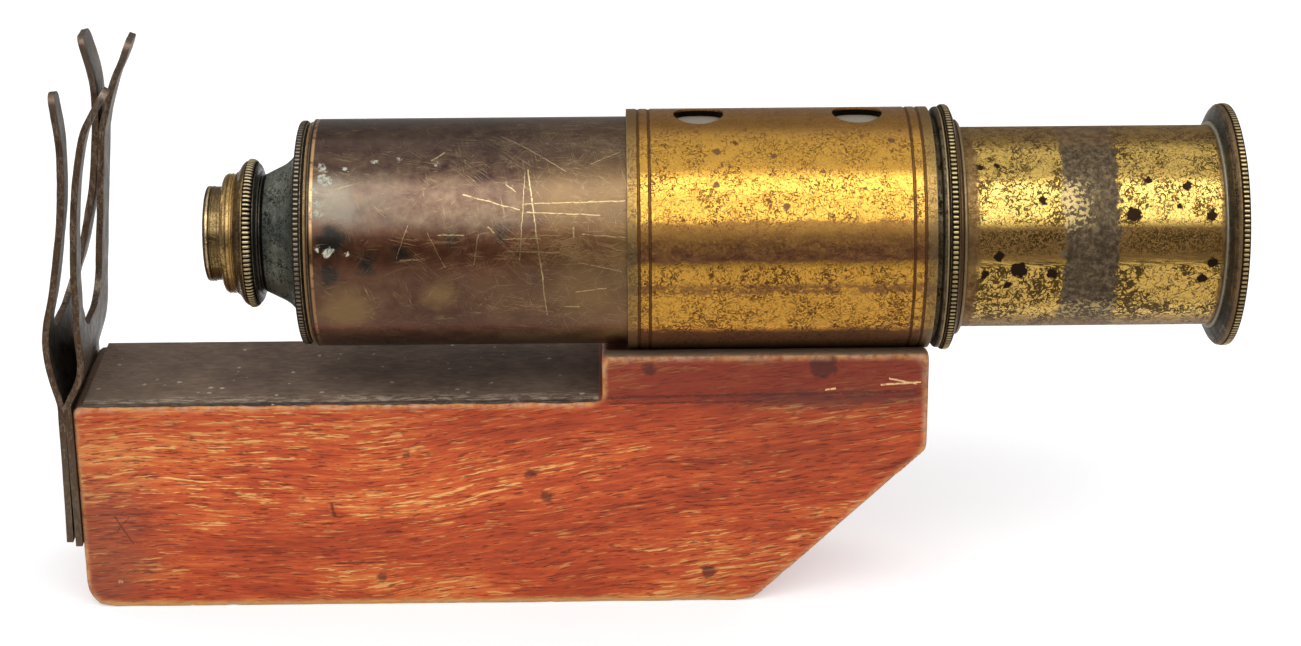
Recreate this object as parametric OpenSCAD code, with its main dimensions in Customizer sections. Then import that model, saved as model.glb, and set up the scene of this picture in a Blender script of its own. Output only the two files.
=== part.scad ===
// Horizontal compound microscope for handing round a class, with its tube lying
// on a hardwood block and a spring slide holder on the end of the block.
// Millimetres. +X runs from the slide holder to the eyepiece, +Z is up, and the
// block stands on z = 0. Places along the tube are measured from the end of the
// block that carries the slide holder, and `shift` centres the whole part on x = 0.

/* [Wood block] */
// Length of the block
block_len = 143.2; // [130:0.1:150]
// Width of the block
block_w = 27.8; // [24:0.1:32]
// Height of the low part, in front of the body tube
low_h = 37.4; // [30:0.1:40]
// Height of the raised part under the sleeve
high_h = 45.8; // [42:0.1:46]
// Length of the raised part
high_len = 54.7; // [52:0.1:60]
// Height of the upright face above the sloped cut at the eyepiece end
upright_h = 17.6; // [12:0.1:22]
// Angle of the sloped cut above the table
slope_angle = 44; // [38:1:50]
// Radius of the two lower corners
foot_r = 4; // [2:0.5:6]
// Thickness of the dark lining glued on the low part
lining_t = 0.5; // [0.3:0.1:0.8]

/* [Tubes] */
// Height of the optical axis above the table
axis_h = 63.1; // [62:0.1:64]
// Outer radius of the brass sleeve that is screwed to the block
sleeve_r = 20.3; // [20.1:0.1:20.8]
// Length of the sleeve
sleeve_len = 50.3; // [46:0.1:52]
// Outer radius of the body tube
body_r = 19.05; // [19:0.01:19.1]
// Length of the body tube
body_len = 102.4; // [96:0.1:108]
// Outer radius of the draw tube
draw_r = 16.8; // [16.7:0.1:16.9]
// Length of draw tube that stands out of the collar
draw_out = 41.3; // [36:0.1:44]
// Length of draw tube that lies inside the body tube
draw_in = 42.2; // [38:0.1:46]
// Wall of the body tube and the draw tube
tube_wall = 1; // [0.8:0.1:1.2]
// Radial clearance of a sliding tube in its guide
slide_fit = 0.05; // [0.03:0.01:0.08]
// Diameter of the two screwdriver holes in the top of the sleeve
access_d = 8.3; // [7:0.1:9]
// Distance from each sleeve end to the nearer screwdriver hole
access_in = 12; // [10:0.5:16]

/* [Turned rims] */
// Radius of the knurled collar on the body tube
collar_r = 20.6; // [20.4:0.1:21]
// Radius of the knurled rim of the nose cap
cap_r = 18.8; // [18.5:0.1:19]
// Radius of the knurled rim of the objective
objective_r = 12.3; // [11.5:0.1:13]
// Radius of the knurled eyepiece rim
eye_r = 20.4; // [19.5:0.1:20.6]

/* [Slide holder] */
// Thickness of the two spring leaves
leaf_t = 1.1; // [1:0.1:1.2]
// Width of each leaf across the block
leaf_w = 28.8; // [27:0.1:30]
// Width of the prong on the side of -Y
near_prong_w = 4; // [3.5:0.1:6]
// Width of the prong on the side of +Y
far_prong_w = 7.6; // [6:0.1:8]
// Height of the bottom of the light opening
gate_z = 51.4; // [50:0.1:54]
// Height of the tips of the prongs
tip_z = 92.9; // [88:0.1:94]
// Length of leaf screwed down against the end of the block
foot_len = 24.6; // [20:0.1:26]

/* [Hidden] */
$fn = 96;

// Small gap left between two pieces of one body that are screwed or cemented
seat = 0.05;

// Places along the tube, from the slide holder end of the block
step_at = block_len - high_len;
sleeve_back = block_len;
sleeve_front = sleeve_back - sleeve_len;
body_back = sleeve_back;
body_front = body_back - body_len;
collar_len = 5.2;
collar_back = body_back + collar_len;
draw_front = collar_back - draw_in;
draw_back = collar_back + draw_out;
eye_depth = 4.2;
eye_back = draw_back + eye_depth;
eye_floor_r = 12.5;
eye_floor_at = draw_back + 1.6;
eye_lens_r = 8.5;
eye_ring_r = 9.6;
access_at = [sleeve_front + access_in, sleeve_back - access_in];

// Bores
sleeve_bore = body_r + slide_fit;
body_bore = body_r - tube_wall;
draw_bore = draw_r - tube_wall;
guide_bore = draw_r + slide_fit;
guide_r = body_bore - seat;

// The nose cap and the objective, each measured forward from the body tube
cap_rim_front = body_front - 2.2;
cap_rim_w = 1.3;
nose_neck_r = 9.8;
nose_at = body_front - 8.4;
nose_cone_len = 2.9;
nose_cone_angle = 26;
mount_front = nose_at - 4.8;
cell_front = mount_front - 2;
tip_front = cell_front - 3;
thread_r = 6.5;
tip_spigot = 0.6;
mount_spigot = 0.7;
mount_spigot_r = 8.5;

// Screws
screw_r = 1.6;
screw_head_r = 2.8;
screw_len = 14;
slot_w = 0.7;
slot_deep = 0.5;
leaf_screw_y = 8;
leaf_screw_z = 27;

// Spring leaves. A leaf's side view is a smooth line through a few [x, z]
// knots from its bend at the top of the block to the tips of its prongs.
leaf_gap = 0.05;
inner_mid = -leaf_t / 2;
outer_mid = inner_mid - leaf_t - leaf_gap;
bend_z = low_h + 0.6;
foot_top = bend_z - leaf_t / 2 - seat;
outer_knots = [
    [outer_mid, bend_z], [-3.35, 48.4], [-1.15, 59.6],
    [0.95, 72.1], [1.65, 83], [1, tip_z - leaf_t / 2]
];
inner_knots = [
    [inner_mid, bend_z], [2.1, 44], [2.05, 53], [2.65, 66.5],
    [3.85, 77.5], [5.75, 85.6], [9.2, tip_z - leaf_t / 2]
];
knot_steps = 5;

// Reach of the outer leaf past the end of the block, and the centring shift
leaf_reach = 3.95;
shift = (leaf_reach - eye_back) / 2;

// Point on a smooth line between knots b and c, at t from 0 to 1
function between(a, b, c, d, t) =
    0.5 * (2 * b + (c - a) * t + (2 * a - 5 * b + 4 * c - d) * t * t
    + (3 * b - a - 3 * c + d) * t * t * t);
// All the points of the smooth line through a list of knots
function smooth_line(k) = [
    for (i = [0 : len(k) - 2])
        for (s = [0 : knot_steps - 1])
            between(k[max(i - 1, 0)], k[i], k[i + 1], k[min(i + 2, len(k) - 1)], s / knot_steps),
    k[len(k) - 1]
];
// Unit vector square to the line at point i
function square_to(p, i) =
    let (d = p[min(i + 1, len(p) - 1)] - p[max(i - 1, 0)]) [-d[1], d[0]] / norm(d);
// Points of an arc about c, in [radius, place] coordinates of a turned profile
function arc(c, r, from, to, n = 8) = [
    for (i = [0 : n]) let (a = from + (to - from) * i / n) c + r * [cos(a), sin(a)]
];

// A shape placed on the tube: its own z axis lies along the tube
module on_axis() {
    translate([shift, 0, axis_h]) rotate([0, 90, 0]) children();
}
// A turned piece from its [radius, place] profile
module turned(profile) {
    on_axis() rotate_extrude() polygon(profile);
}
// A plain ring between two places
module ring(r_out, r_in, from, to) {
    turned([[r_in, from], [r_out, from], [r_out, to], [r_in, to]]);
}
// A lens with a straight edge, and faces that bulge by the heights given
module lens(r, front, back, bulge_front, bulge_back) {
    steps = 6;
    front_face = [for (i = [0 : steps]) [r * i / steps, front + bulge_front * pow(i / steps, 2)]];
    back_face = [for (i = [steps : -1 : 0]) [r * i / steps, back - bulge_back * pow(i / steps, 2)]];
    turned(concat(front_face, back_face));
}
// A countersunk wood screw with its head face on z = 0 and its point below
module wood_screw(head_h) {
    difference() {
        union() {
            translate([0, 0, -head_h]) cylinder(r1 = screw_r, r2 = screw_head_r, h = head_h);
            translate([0, 0, 1.5 - screw_len]) cylinder(r = screw_r, h = screw_len - head_h - 1.5);
            translate([0, 0, -screw_len]) cylinder(r1 = 0.3, r2 = screw_r, h = 1.5);
        }
        translate([-slot_w / 2, -screw_head_r - 1, -slot_deep])
            cube([slot_w, 2 * screw_head_r + 2, slot_deep + 1]);
    }
}
// The hole that a wood screw goes in, with a little room all round
module screw_hole(head_h) {
    room = 0.05;
    translate([0, 0, -head_h]) cylinder(r1 = screw_r + room, r2 = screw_head_r + room, h = head_h);
    translate([0, 0, -room]) cylinder(r = screw_head_r + room, h = 2);
    translate([0, 0, -screw_len - room]) cylinder(r = screw_r + room, h = screw_len);
}
sleeve_head_h = 1.6;
leaf_head_h = 1;
module at_sleeve_screws() {
    head_z = axis_h - sleeve_bore - 0.3;
    for (x = access_at) translate([shift + x, 0, head_z]) children();
}
module at_leaf_screws() {
    outside = outer_mid - leaf_t / 2;
    for (y = [-leaf_screw_y, leaf_screw_y])
        translate([shift + outside, y, leaf_screw_z]) rotate([0, -90, 0]) children();
}

// Block outline seen from the side, drawn as [x, z]
module block_outline() {
    corner_r = 0.8;
    slope_foot = block_len - (high_h - upright_h) / tan(slope_angle);
    toe_r = 6;
    toe_cut = toe_r * tan(slope_angle / 2);
    polygon(concat(
        arc([foot_r, foot_r], foot_r, 270, 180),
        arc([corner_r, low_h - corner_r], corner_r, 180, 90, 4),
        [[step_at, low_h], [step_at, high_h], [block_len, high_h], [block_len, high_h - upright_h]],
        arc([slope_foot - toe_cut, toe_r], toe_r, slope_angle - 90, -90)
    ));
}
module wood_block() {
    color("#8f3d1f") difference() {
        translate([shift, block_w / 2, 0]) rotate([90, 0, 0]) linear_extrude(block_w) block_outline();
        on_axis() translate([0, 0, step_at - 1]) cylinder(r = sleeve_r + 0.02, h = high_len + 2);
        at_sleeve_screws() screw_hole(sleeve_head_h);
        at_leaf_screws() screw_hole(leaf_head_h);
    }
}
module recess_lining() {
    front = 1.8;
    color("#3b332c") translate([shift + front, -block_w / 2, low_h])
        cube([step_at - front, block_w, lining_t]);
}

module sleeve() {
    line_w = 0.5;
    line_deep = 0.25;
    color("#b8862f") difference() {
        ring(sleeve_r, sleeve_bore, sleeve_front, sleeve_back);
        for (d = [1.9, 3.7], end = [sleeve_front + d, sleeve_back - d])
            ring(sleeve_r + 1, sleeve_r - line_deep, end - line_w / 2, end + line_w / 2);
        for (x = access_at) translate([shift + x, 0, axis_h]) cylinder(d = access_d, h = sleeve_r + 5);
        at_sleeve_screws() screw_hole(sleeve_head_h);
    }
}
module sleeve_screws() {
    color("#8c8578") at_sleeve_screws() wood_screw(sleeve_head_h);
}

// Foot of a leaf: the flat part under the screws
module leaf_foot(mid, bottom) {
    difference() {
        translate([shift + mid - leaf_t / 2, -leaf_w / 2, bottom])
            cube([leaf_t, leaf_w, foot_top - bottom]);
        at_leaf_screws() screw_hole(leaf_head_h);
    }
}
// Side view of a blade drawn out across the whole leaf
module blade_sheet(knots) {
    line = smooth_line(knots);
    half = leaf_t / 2;
    last = len(line) - 1;
    left = [for (i = [0 : last]) line[i] + half * square_to(line, i)];
    right = [for (i = [last : -1 : 0]) line[i] - half * square_to(line, i)];
    translate([0, leaf_w / 2, 0]) rotate([90, 0, 0]) linear_extrude(leaf_w)
        polygon(concat(left, right));
}
// End view of a blade: a plate split into two prongs by a round-cornered opening
module blade_face() {
    tip_r = 1.6;
    gate_r = 5;
    gate_left = near_prong_w - leaf_w / 2;
    gate_right = leaf_w / 2 - far_prong_w;
    difference() {
        union() {
            translate([-leaf_w / 2, bend_z - leaf_t]) square([leaf_w, tip_z - tip_r - bend_z + leaf_t]);
            for (side = [[-leaf_w / 2, near_prong_w], [gate_right, far_prong_w]])
                translate([side[0] + tip_r, tip_z - tip_r]) {
                    circle(r = tip_r);
                    translate([side[1] - 2 * tip_r, 0]) circle(r = tip_r);
                    square([side[1] - 2 * tip_r, tip_r]);
                }
        }
        translate([gate_left, gate_z + gate_r]) square([gate_right - gate_left, tip_z]);
        translate([gate_left + gate_r, gate_z]) square([gate_right - gate_left - 2 * gate_r, gate_r + 1]);
        for (y = [gate_left + gate_r, gate_right - gate_r]) translate([y, gate_z + gate_r]) circle(r = gate_r);
    }
}
// A blade: its side view cut to its end view, with a round lower end at the bend
module leaf_blade(knots) {
    reach = 30;
    translate([shift, 0, 0]) {
        intersection() {
            blade_sheet(knots);
            translate([-reach, 0, 0]) rotate([90, 0, 90]) linear_extrude(2 * reach) blade_face();
        }
        translate([knots[0][0], leaf_w / 2, knots[0][1]]) rotate([90, 0, 0])
            cylinder(d = leaf_t, h = leaf_w);
    }
}
module outer_leaf_foot() {
    color("#4a4036") leaf_foot(outer_mid, foot_top - foot_len);
}
module outer_leaf_blade() {
    color("#4a4036") leaf_blade(outer_knots);
}
module inner_leaf_foot() {
    color("#453b32") leaf_foot(inner_mid, foot_top - foot_len - 0.8);
}
module inner_leaf_blade() {
    color("#453b32") leaf_blade(inner_knots);
}
module leaf_screws() {
    color("#8c8578") at_leaf_screws() wood_screw(leaf_head_h);
}

module body_tube() {
    chamfer = 0.3;
    color("#4b3833") turned([
        [body_bore, body_front], [body_r - chamfer, body_front], [body_r, body_front + chamfer],
        [body_r, body_back], [body_bore, body_back]
    ]);
}
// Flared cap screwed into the front of the body tube
module nose_cap() {
    spigot_r = body_bore - seat;
    spigot_len = 5;
    wall = 1.6;
    neck_bore = thread_r + seat;
    cone_end = nose_at + nose_cone_len;
    flare_r = (cap_rim_front - cone_end) / (1 - sin(nose_cone_angle));
    flare_mid_r = nose_neck_r + nose_cone_len * tan(nose_cone_angle) + flare_r * cos(nose_cone_angle);
    color("#5c5f4e") turned(concat(
        [[neck_bore, nose_at], [nose_neck_r, nose_at]],
        arc([flare_mid_r, cap_rim_front - flare_r], flare_r, 180 - nose_cone_angle, 90),
        [
            [cap_r - 0.2, cap_rim_front], [cap_r, cap_rim_front + 0.2],
            [cap_r, cap_rim_front + cap_rim_w], [cap_r - 0.25, cap_rim_front + cap_rim_w + 0.2],
            [cap_r - 0.25, body_front], [spigot_r, body_front],
            [spigot_r, body_front + spigot_len], [spigot_r - wall, body_front + spigot_len],
            [spigot_r - wall, cap_rim_front + wall], [neck_bore + 3, cap_rim_front + wall],
            [neck_bore, nose_at + 4.6]
        ]
    ));
}
// Knurled collar on the back end of the body tube
module collar() {
    neck_r = 18.7;
    flange_at = body_back + 1.1;
    crest_at = body_back + 2.5;
    crest_w = 1.1;
    step_r = 18.1;
    lip_at = collar_back - 2;
    color("#594a30") turned([
        [guide_r + 0.02, body_back], [neck_r, body_back], [neck_r, flange_at],
        [collar_r - 0.9, flange_at], [collar_r - 0.35, flange_at + 0.35],
        [collar_r - 0.5, crest_at - 0.3], [collar_r, crest_at], [collar_r, crest_at + crest_w],
        [collar_r - 0.4, crest_at + crest_w + 0.3], [collar_r - 1.6, crest_at + crest_w + 0.9],
        [step_r, crest_at + crest_w + 1], [step_r, collar_back - 0.4], [step_r - 0.5, collar_back],
        [guide_bore + 0.1, collar_back], [guide_bore + 0.1, lip_at], [guide_r + 0.02, lip_at]
    ]);
}
// Slit spring tube that the draw tube slides in
module draw_tube_guide() {
    back = collar_back - 2;
    front = back - 26;
    slit_w = 0.8;
    slit_len = 15;
    color("#a17a35") difference() {
        ring(guide_r, guide_bore, front, back);
        on_axis() for (a = [0, 90]) rotate(a)
            translate([-slit_w / 2, -body_r, front - 1]) cube([slit_w, 2 * body_r, slit_len + 1]);
    }
}

// Objective: a knurled mount and two stepped cells, screwed together
module objective_mount() {
    light_r = 5.2;
    crest_round = 1.65;
    crest_at = nose_at - 2.25;
    lens_r = 6.05;
    spigot_at = mount_front - mount_spigot;
    color("#6b5730") turned(concat(
        [
            [lens_r, spigot_at], [mount_spigot_r, spigot_at], [mount_spigot_r, mount_front],
            [objective_r - 2.2, mount_front]
        ],
        arc([objective_r - crest_round, crest_at], crest_round, -50, 90, 10),
        [
            [nose_neck_r + 0.1, nose_at - 0.3], [nose_neck_r, nose_at],
            [thread_r, nose_at], [thread_r, nose_at + 4.4],
            [light_r, nose_at + 4.4], [light_r, mount_front + 1.5], [lens_r, mount_front + 1.5]
        ]
    ));
}
module objective_cell() {
    shell_r = 10.05;
    light_r = 4.6;
    lens_r = 5.65;
    web_front = cell_front + tip_spigot;
    web_back = mount_front - mount_spigot;
    color("#7a6232") turned([
        [light_r, web_front], [thread_r + seat, web_front], [thread_r + seat, cell_front],
        [shell_r - 0.7, cell_front], [shell_r - 0.2, cell_front + 0.2], [shell_r, cell_front + 0.7],
        [shell_r, mount_front - 0.3], [shell_r - 0.3, mount_front],
        [mount_spigot_r + seat, mount_front], [mount_spigot_r + seat, web_back], [lens_r, web_back],
        [lens_r, web_front + 0.3], [light_r, web_front + 0.3]
    ]);
}
module front_cell() {
    shell_r = 8;
    light_r = 4.1;
    lens_r = 5.05;
    back = cell_front + tip_spigot;
    color("#7d6a3c") turned([
        [light_r + 0.6, tip_front], [shell_r - 0.4, tip_front], [shell_r, tip_front + 0.4],
        [shell_r, cell_front - 0.3], [shell_r - 0.3, cell_front], [thread_r, cell_front], [thread_r, back],
        [lens_r, back], [lens_r, tip_front + 1], [light_r, tip_front + 1]
    ]);
}
module front_lens() {
    color("#b9d3da") lens(5, tip_front + 0.55, tip_front + 3.2, 0.7, 0.3);
}
module middle_lens() {
    color("#b9d3da") lens(5.6, cell_front + 0.68, cell_front + 1.5, 0.35, 0.1);
}
module back_lens() {
    color("#b9d3da") lens(6, mount_front - 0.45, mount_front + 2.05, 0.4, 0.8);
}
module objective_stop() {
    color("#1f1c1a") ring(thread_r - 1.35, 2.5, nose_at + 3.2, nose_at + 4);
}

module draw_tube() {
    color("#c0912f") ring(draw_r, draw_bore, draw_front, draw_back);
}
// Brass ring that holds the field lens in the inner end of the draw tube
module field_lens_cell() {
    color("#8a6a30") turned([
        [13, draw_front - 1.2], [draw_r - 0.1, draw_front - 1.2], [draw_r - 0.1, draw_front],
        [draw_bore - seat, draw_front], [draw_bore - seat, draw_front + 6],
        [14.55, draw_front + 6], [14.55, draw_front], [13, draw_front]
    ]);
}
module field_lens() {
    color("#b9d3da") lens(14.5, draw_front - 1.95, draw_front + 3.2, 2.5, 0);
}
module field_stop() {
    stop_at = draw_front + 48;
    color("#1f1c1a") ring(draw_bore - seat, 9, stop_at, stop_at + 0.8);
}
// Bell-shaped eyepiece end, screwed into the draw tube
module eyepiece_flange() {
    spigot_len = 7;
    mouth_r = eye_r - 1.1;
    dish_w = mouth_r - eye_floor_r;
    dish_deep = eye_back - eye_floor_at;
    dish_r = (dish_w * dish_w + dish_deep * dish_deep) / (2 * dish_deep);
    color("#8e6f33") turned(concat(
        [
            [eye_floor_r, draw_back - spigot_len], [draw_bore - seat, draw_back - spigot_len],
            [draw_bore - seat, draw_back], [draw_r + 0.05, draw_back],
            [draw_r + 0.6, draw_back + 0.3], [draw_r + 3.1, draw_back + 2.1], [eye_r, draw_back + 2.7],
            [eye_r, eye_back - 0.3], [eye_r - 0.3, eye_back]
        ],
        arc([eye_floor_r, eye_floor_at + dish_r], dish_r, asin(dish_w / dish_r) - 90, -90)
    ));
}
module eye_lens_cell() {
    light_r = 7.4;
    seat_at = eye_floor_at - 3.85;
    color("#2a2522") turned([
        [light_r, seat_at - 2], [eye_floor_r - seat, seat_at - 2], [eye_floor_r - seat, eye_floor_at],
        [eye_ring_r + seat, eye_floor_at], [eye_ring_r + seat, eye_floor_at - 0.8],
        [eye_lens_r + seat, eye_floor_at - 0.8], [eye_lens_r + seat, seat_at], [light_r, seat_at]
    ]);
}
module eye_lens() {
    color("#b9d3da") lens(eye_lens_r, eye_floor_at - 4.8, eye_floor_at - 0.8, 1.3, 0);
}
module eye_lens_ring() {
    color("#b08a3c") turned([
        [eye_lens_r - 0.8, eye_floor_at - 0.8], [eye_ring_r, eye_floor_at - 0.8],
        [eye_ring_r, eye_floor_at], [eye_lens_r - 0.3, eye_floor_at]
    ]);
}

wood_block();
recess_lining();
sleeve();
sleeve_screws();
outer_leaf_foot();
outer_leaf_blade();
inner_leaf_foot();
inner_leaf_blade();
leaf_screws();
body_tube();
nose_cap();
collar();
draw_tube_guide();
objective_mount();
objective_cell();
front_cell();
front_lens();
middle_lens();
back_lens();
objective_stop();
draw_tube();
field_lens_cell();
field_lens();
field_stop();
eyepiece_flange();
eye_lens_cell();
eye_lens();
eye_lens_ring();
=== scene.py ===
"""Looks of a horizontal compound microscope, dressed on its packed frame.

Lengths are metres in the frame of the packed part: +X runs along the tubes to the
eyepiece, +Z is up and the block stands on z = 0. Outlines of turned pieces and the
patterns of the finishes are written in millimetres.
"""
import math

import bmesh
import bpy
import numpy as np
from mathutils import Matrix, Vector, noise


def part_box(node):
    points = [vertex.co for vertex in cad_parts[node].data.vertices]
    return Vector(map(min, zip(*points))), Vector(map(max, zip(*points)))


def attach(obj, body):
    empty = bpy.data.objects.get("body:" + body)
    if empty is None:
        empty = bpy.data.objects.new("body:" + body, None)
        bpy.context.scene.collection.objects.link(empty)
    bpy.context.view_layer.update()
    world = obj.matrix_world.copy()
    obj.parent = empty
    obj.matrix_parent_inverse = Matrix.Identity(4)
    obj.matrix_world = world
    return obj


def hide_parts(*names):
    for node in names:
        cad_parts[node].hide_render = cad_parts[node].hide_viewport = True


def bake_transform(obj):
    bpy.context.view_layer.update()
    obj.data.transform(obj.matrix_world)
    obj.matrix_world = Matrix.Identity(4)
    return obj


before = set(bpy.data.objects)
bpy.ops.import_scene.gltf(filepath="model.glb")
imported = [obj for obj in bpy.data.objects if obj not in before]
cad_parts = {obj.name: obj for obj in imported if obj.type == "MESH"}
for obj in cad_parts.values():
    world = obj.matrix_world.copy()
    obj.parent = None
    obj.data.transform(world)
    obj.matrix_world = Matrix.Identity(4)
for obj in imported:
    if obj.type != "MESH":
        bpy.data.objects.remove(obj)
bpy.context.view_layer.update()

bl_info = {
    "name": "Compound microscope",
    "version": (1, 0, 0),
    "blender": (4, 5, 0),
    "location": "3D View > Sidebar > Microscope",
    "description": "Builds the wood, brass and spring leaves of a horizontal compound microscope",
    "category": "Object",
}

MM = 0.001
AXIS_HEIGHT = sum(corner.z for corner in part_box("body_tube")) / 2
SCREW_HEAD_RADIUS = 2.8 * MM
SCREW_HEAD_DEPTH = 1 * MM
# Wall of the tubes and play of the pieces that fit in each other, in millimetres
TUBE_WALL = 1
PLAY = 0.05


# Measures taken from the frame
def span(node):
    """First place, last place and outer radius of a turned node, in millimetres."""
    low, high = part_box(node)
    return low.x / MM, high.x / MM, (high.y - low.y) / 2 / MM


def arc(middle, radius, start, end, steps=6):
    """Points of an arc in an outline, with its angles in degrees from the first direction."""
    angles = [math.radians(start + (end - start) * step / steps) for step in range(steps + 1)]
    return [
        (middle[0] + radius * math.cos(angle), middle[1] + radius * math.sin(angle))
        for angle in angles
    ]


def groove(place, radius, width=0.3, depth=0.2):
    """Points of a small turned line cut in a surface of the given radius, from left to right."""
    half = width / 2
    return [
        (place - half, radius), (place - half / 2, radius - depth),
        (place + half / 2, radius - depth), (place + half, radius),
    ]


def stepped(place, radius, *steps):
    """Outline points at some steps along and outwards from one point."""
    return [(place + along, radius + outward) for along, outward in steps]


# Sizes and colours that a user would change
def length(name, description, default):
    """A length property in metres."""
    return bpy.props.FloatProperty(
        name=name, description=description, default=default, min=0, precision=5,
        subtype="DISTANCE", unit="LENGTH",
    )


def angle(name, description, degrees):
    """An angle property."""
    return bpy.props.FloatProperty(
        name=name, description=description, default=math.radians(degrees), subtype="ANGLE"
    )


def amount(name, description, default):
    """A plain number property."""
    return bpy.props.FloatProperty(name=name, description=description, default=default, min=0)


def colour(name, description, default):
    """A colour property with linear values."""
    return bpy.props.FloatVectorProperty(
        name=name, description=description, default=default, size=3, min=0, max=1, subtype="COLOR",
    )


class BlockSettings(bpy.types.PropertyGroup):
    """Shape and colours of the wood block and its lining"""

    mesh_size: length("Mesh size", "Size of the faces of the block's worn surface", 0.62 * MM)
    wear_depth: length("Wear", "How far the block's edges are worn back", 0.3 * MM)
    slope_angle: angle("Slope", "Angle of the sloped cut at the eyepiece end", 44)
    upright: length("Upright", "Height of the face above the sloped cut", 17.6 * MM)
    foot_radius: length("Foot radius", "Radius of the lower corner under the leaves", 4 * MM)
    toe_radius: length("Toe radius", "Radius of the lower corner at the sloped cut", 6 * MM)
    light_wood: colour("Light wood", "Orange early wood", (0.66, 0.135, 0.032))
    red_wood: colour("Red wood", "Main colour of the polished wood", (0.53, 0.078, 0.022))
    dark_wood: colour("Dark wood", "Dark bands of the grain", (0.21, 0.024, 0.012))
    fleck: colour("Flecks", "Yellow flecks along the grain", (0.9, 0.5, 0.15))
    worn_edge: colour("Worn edge", "Bare wood on the edges", (0.66, 0.4, 0.22))
    dust: colour("Dust", "Grey dust on the upper faces", (0.165, 0.12, 0.078))
    lining: colour("Lining", "Blackened lining of the recess", (0.145, 0.09, 0.06))


class BrassSettings(bpy.types.PropertyGroup):
    """Colours of the brass finishes"""

    gold: colour("Gold lacquer", "Lacquered brass of the sleeve", (0.94, 0.51, 0.088))
    pale_gold: colour("Pale lacquer", "Lacquered brass of the draw tube", (0.97, 0.64, 0.165))
    # This brown is also painted on the sleeve as shade, in its dark reflected band and on its top.
    film: colour("Brown film", "Brown tarnish over the lacquer", (0.31, 0.145, 0.062))
    bronze: colour("Bronze", "Dark bronzed brass of the body tube", (0.12, 0.064, 0.042))
    rubbed: colour("Rubbed bronze", "Bronze rubbed through near the sleeve", (0.34, 0.205, 0.085))
    grime: colour("Grime", "Black grime in corners and spots", (0.03, 0.018, 0.01))
    dull: colour("Dull brass", "Bare brass gone dull", (0.46, 0.29, 0.11))
    bright: colour("Bright brass", "Fresh brass on worn edges and scratches", (0.95, 0.68, 0.3))


class MillingSettings(bpy.types.PropertyGroup):
    """Sizes of the milled edges"""

    cap_pitch: length("Cap pitch", "Pitch of the ridges on the nose cap", 0.82 * MM)
    objective_pitch: length("Objective pitch", "Pitch of the ridges on the objective", 0.78 * MM)
    collar_pitch: length("Collar pitch", "Pitch of the ridges on the collar", 0.82 * MM)
    eyepiece_pitch: length("Eyepiece pitch", "Pitch of the ridges on the eyepiece", 0.79 * MM)
    depth: length("Depth", "Height of the ridges", 0.24 * MM)


class LeafSettings(bpy.types.PropertyGroup):
    """Shape and colours of the two spring leaves"""

    near_prong: length("Near prong", "Width of the prong on the side of -Y", 4 * MM)
    far_prong: length("Far prong", "Width of the prong on the side of +Y", 7 * MM)
    gate_height: length("Opening", "Height of the bottom of the light opening", 49.4 * MM)
    gate_radius: length("Corner radius", "Radius of the corners of the opening", 5 * MM)
    tip_radius: length("Tip radius", "Radius of the corners of the prongs", 1.8 * MM)
    splay: length("Splay", "How far the lower ends stand apart", 0.25 * MM)
    metal: colour("Spring brass", "Blackened spring brass", (0.085, 0.066, 0.052))
    edge: colour("Leaf edge", "Worn edges of the leaves", (0.21, 0.115, 0.05))


class StageSettings(bpy.types.PropertyGroup):
    """Camera, floor and light"""

    camera_place: bpy.props.FloatVectorProperty(
        name="Camera place", description="Place of the camera that took the picture",
        default=(-0.003705, -0.4548, 0.22796), subtype="TRANSLATION", unit="LENGTH", precision=5,
    )
    camera_pitch: angle("Pitch", "How far the camera looks down", 21.79)
    camera_yaw: angle("Yaw", "How far the camera looks towards the eyepiece", 0.7)
    camera_roll: angle("Roll", "Roll of the camera", -0.276)
    camera_lens: amount("Lens", "Focal length for a sensor 36 mm wide, in millimetres", 79.48)
    key_light: amount("Key light", "Radiance of the large soft light in front", 1.2)
    core_light: amount("Core light", "Extra radiance of the middle of that light", 0.95)
    rear_light: amount("Rear lights", "Radiance of the two soft lights behind", 1.1)
    sky: amount("Room", "Radiance of the pale room all round", 0.62)
    floor: colour("Floor", "Colour of the pale floor", (0.8, 0.8, 0.81))


# Nodes
def title(key):
    """The name of the socket for a key, such as Mark size for mark_size."""
    return key.replace("_", " ").capitalize()


def summed(operation, swapped=False):
    """A method that joins two values with a math node."""
    def method(value, other):
        """The two values joined."""
        pair = (other, value) if swapped else (value, other)
        return value.graph.math(operation, *pair)
    return method


class Value:
    """A socket of a node tree that takes part in sums like a number, where | is the larger."""

    def __init__(self, graph, socket):
        self.graph = graph
        self.socket = socket

    __add__ = __radd__ = summed("ADD")
    __sub__ = summed("SUBTRACT")
    __rsub__ = summed("SUBTRACT", swapped=True)
    __mul__ = __rmul__ = summed("MULTIPLY")
    __truediv__ = summed("DIVIDE")
    __rtruediv__ = summed("DIVIDE", swapped=True)
    __or__ = summed("MAXIMUM")

    def __abs__(self):
        return self.graph.math("ABSOLUTE", self)

    def __neg__(self):
        return self * -1


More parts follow.
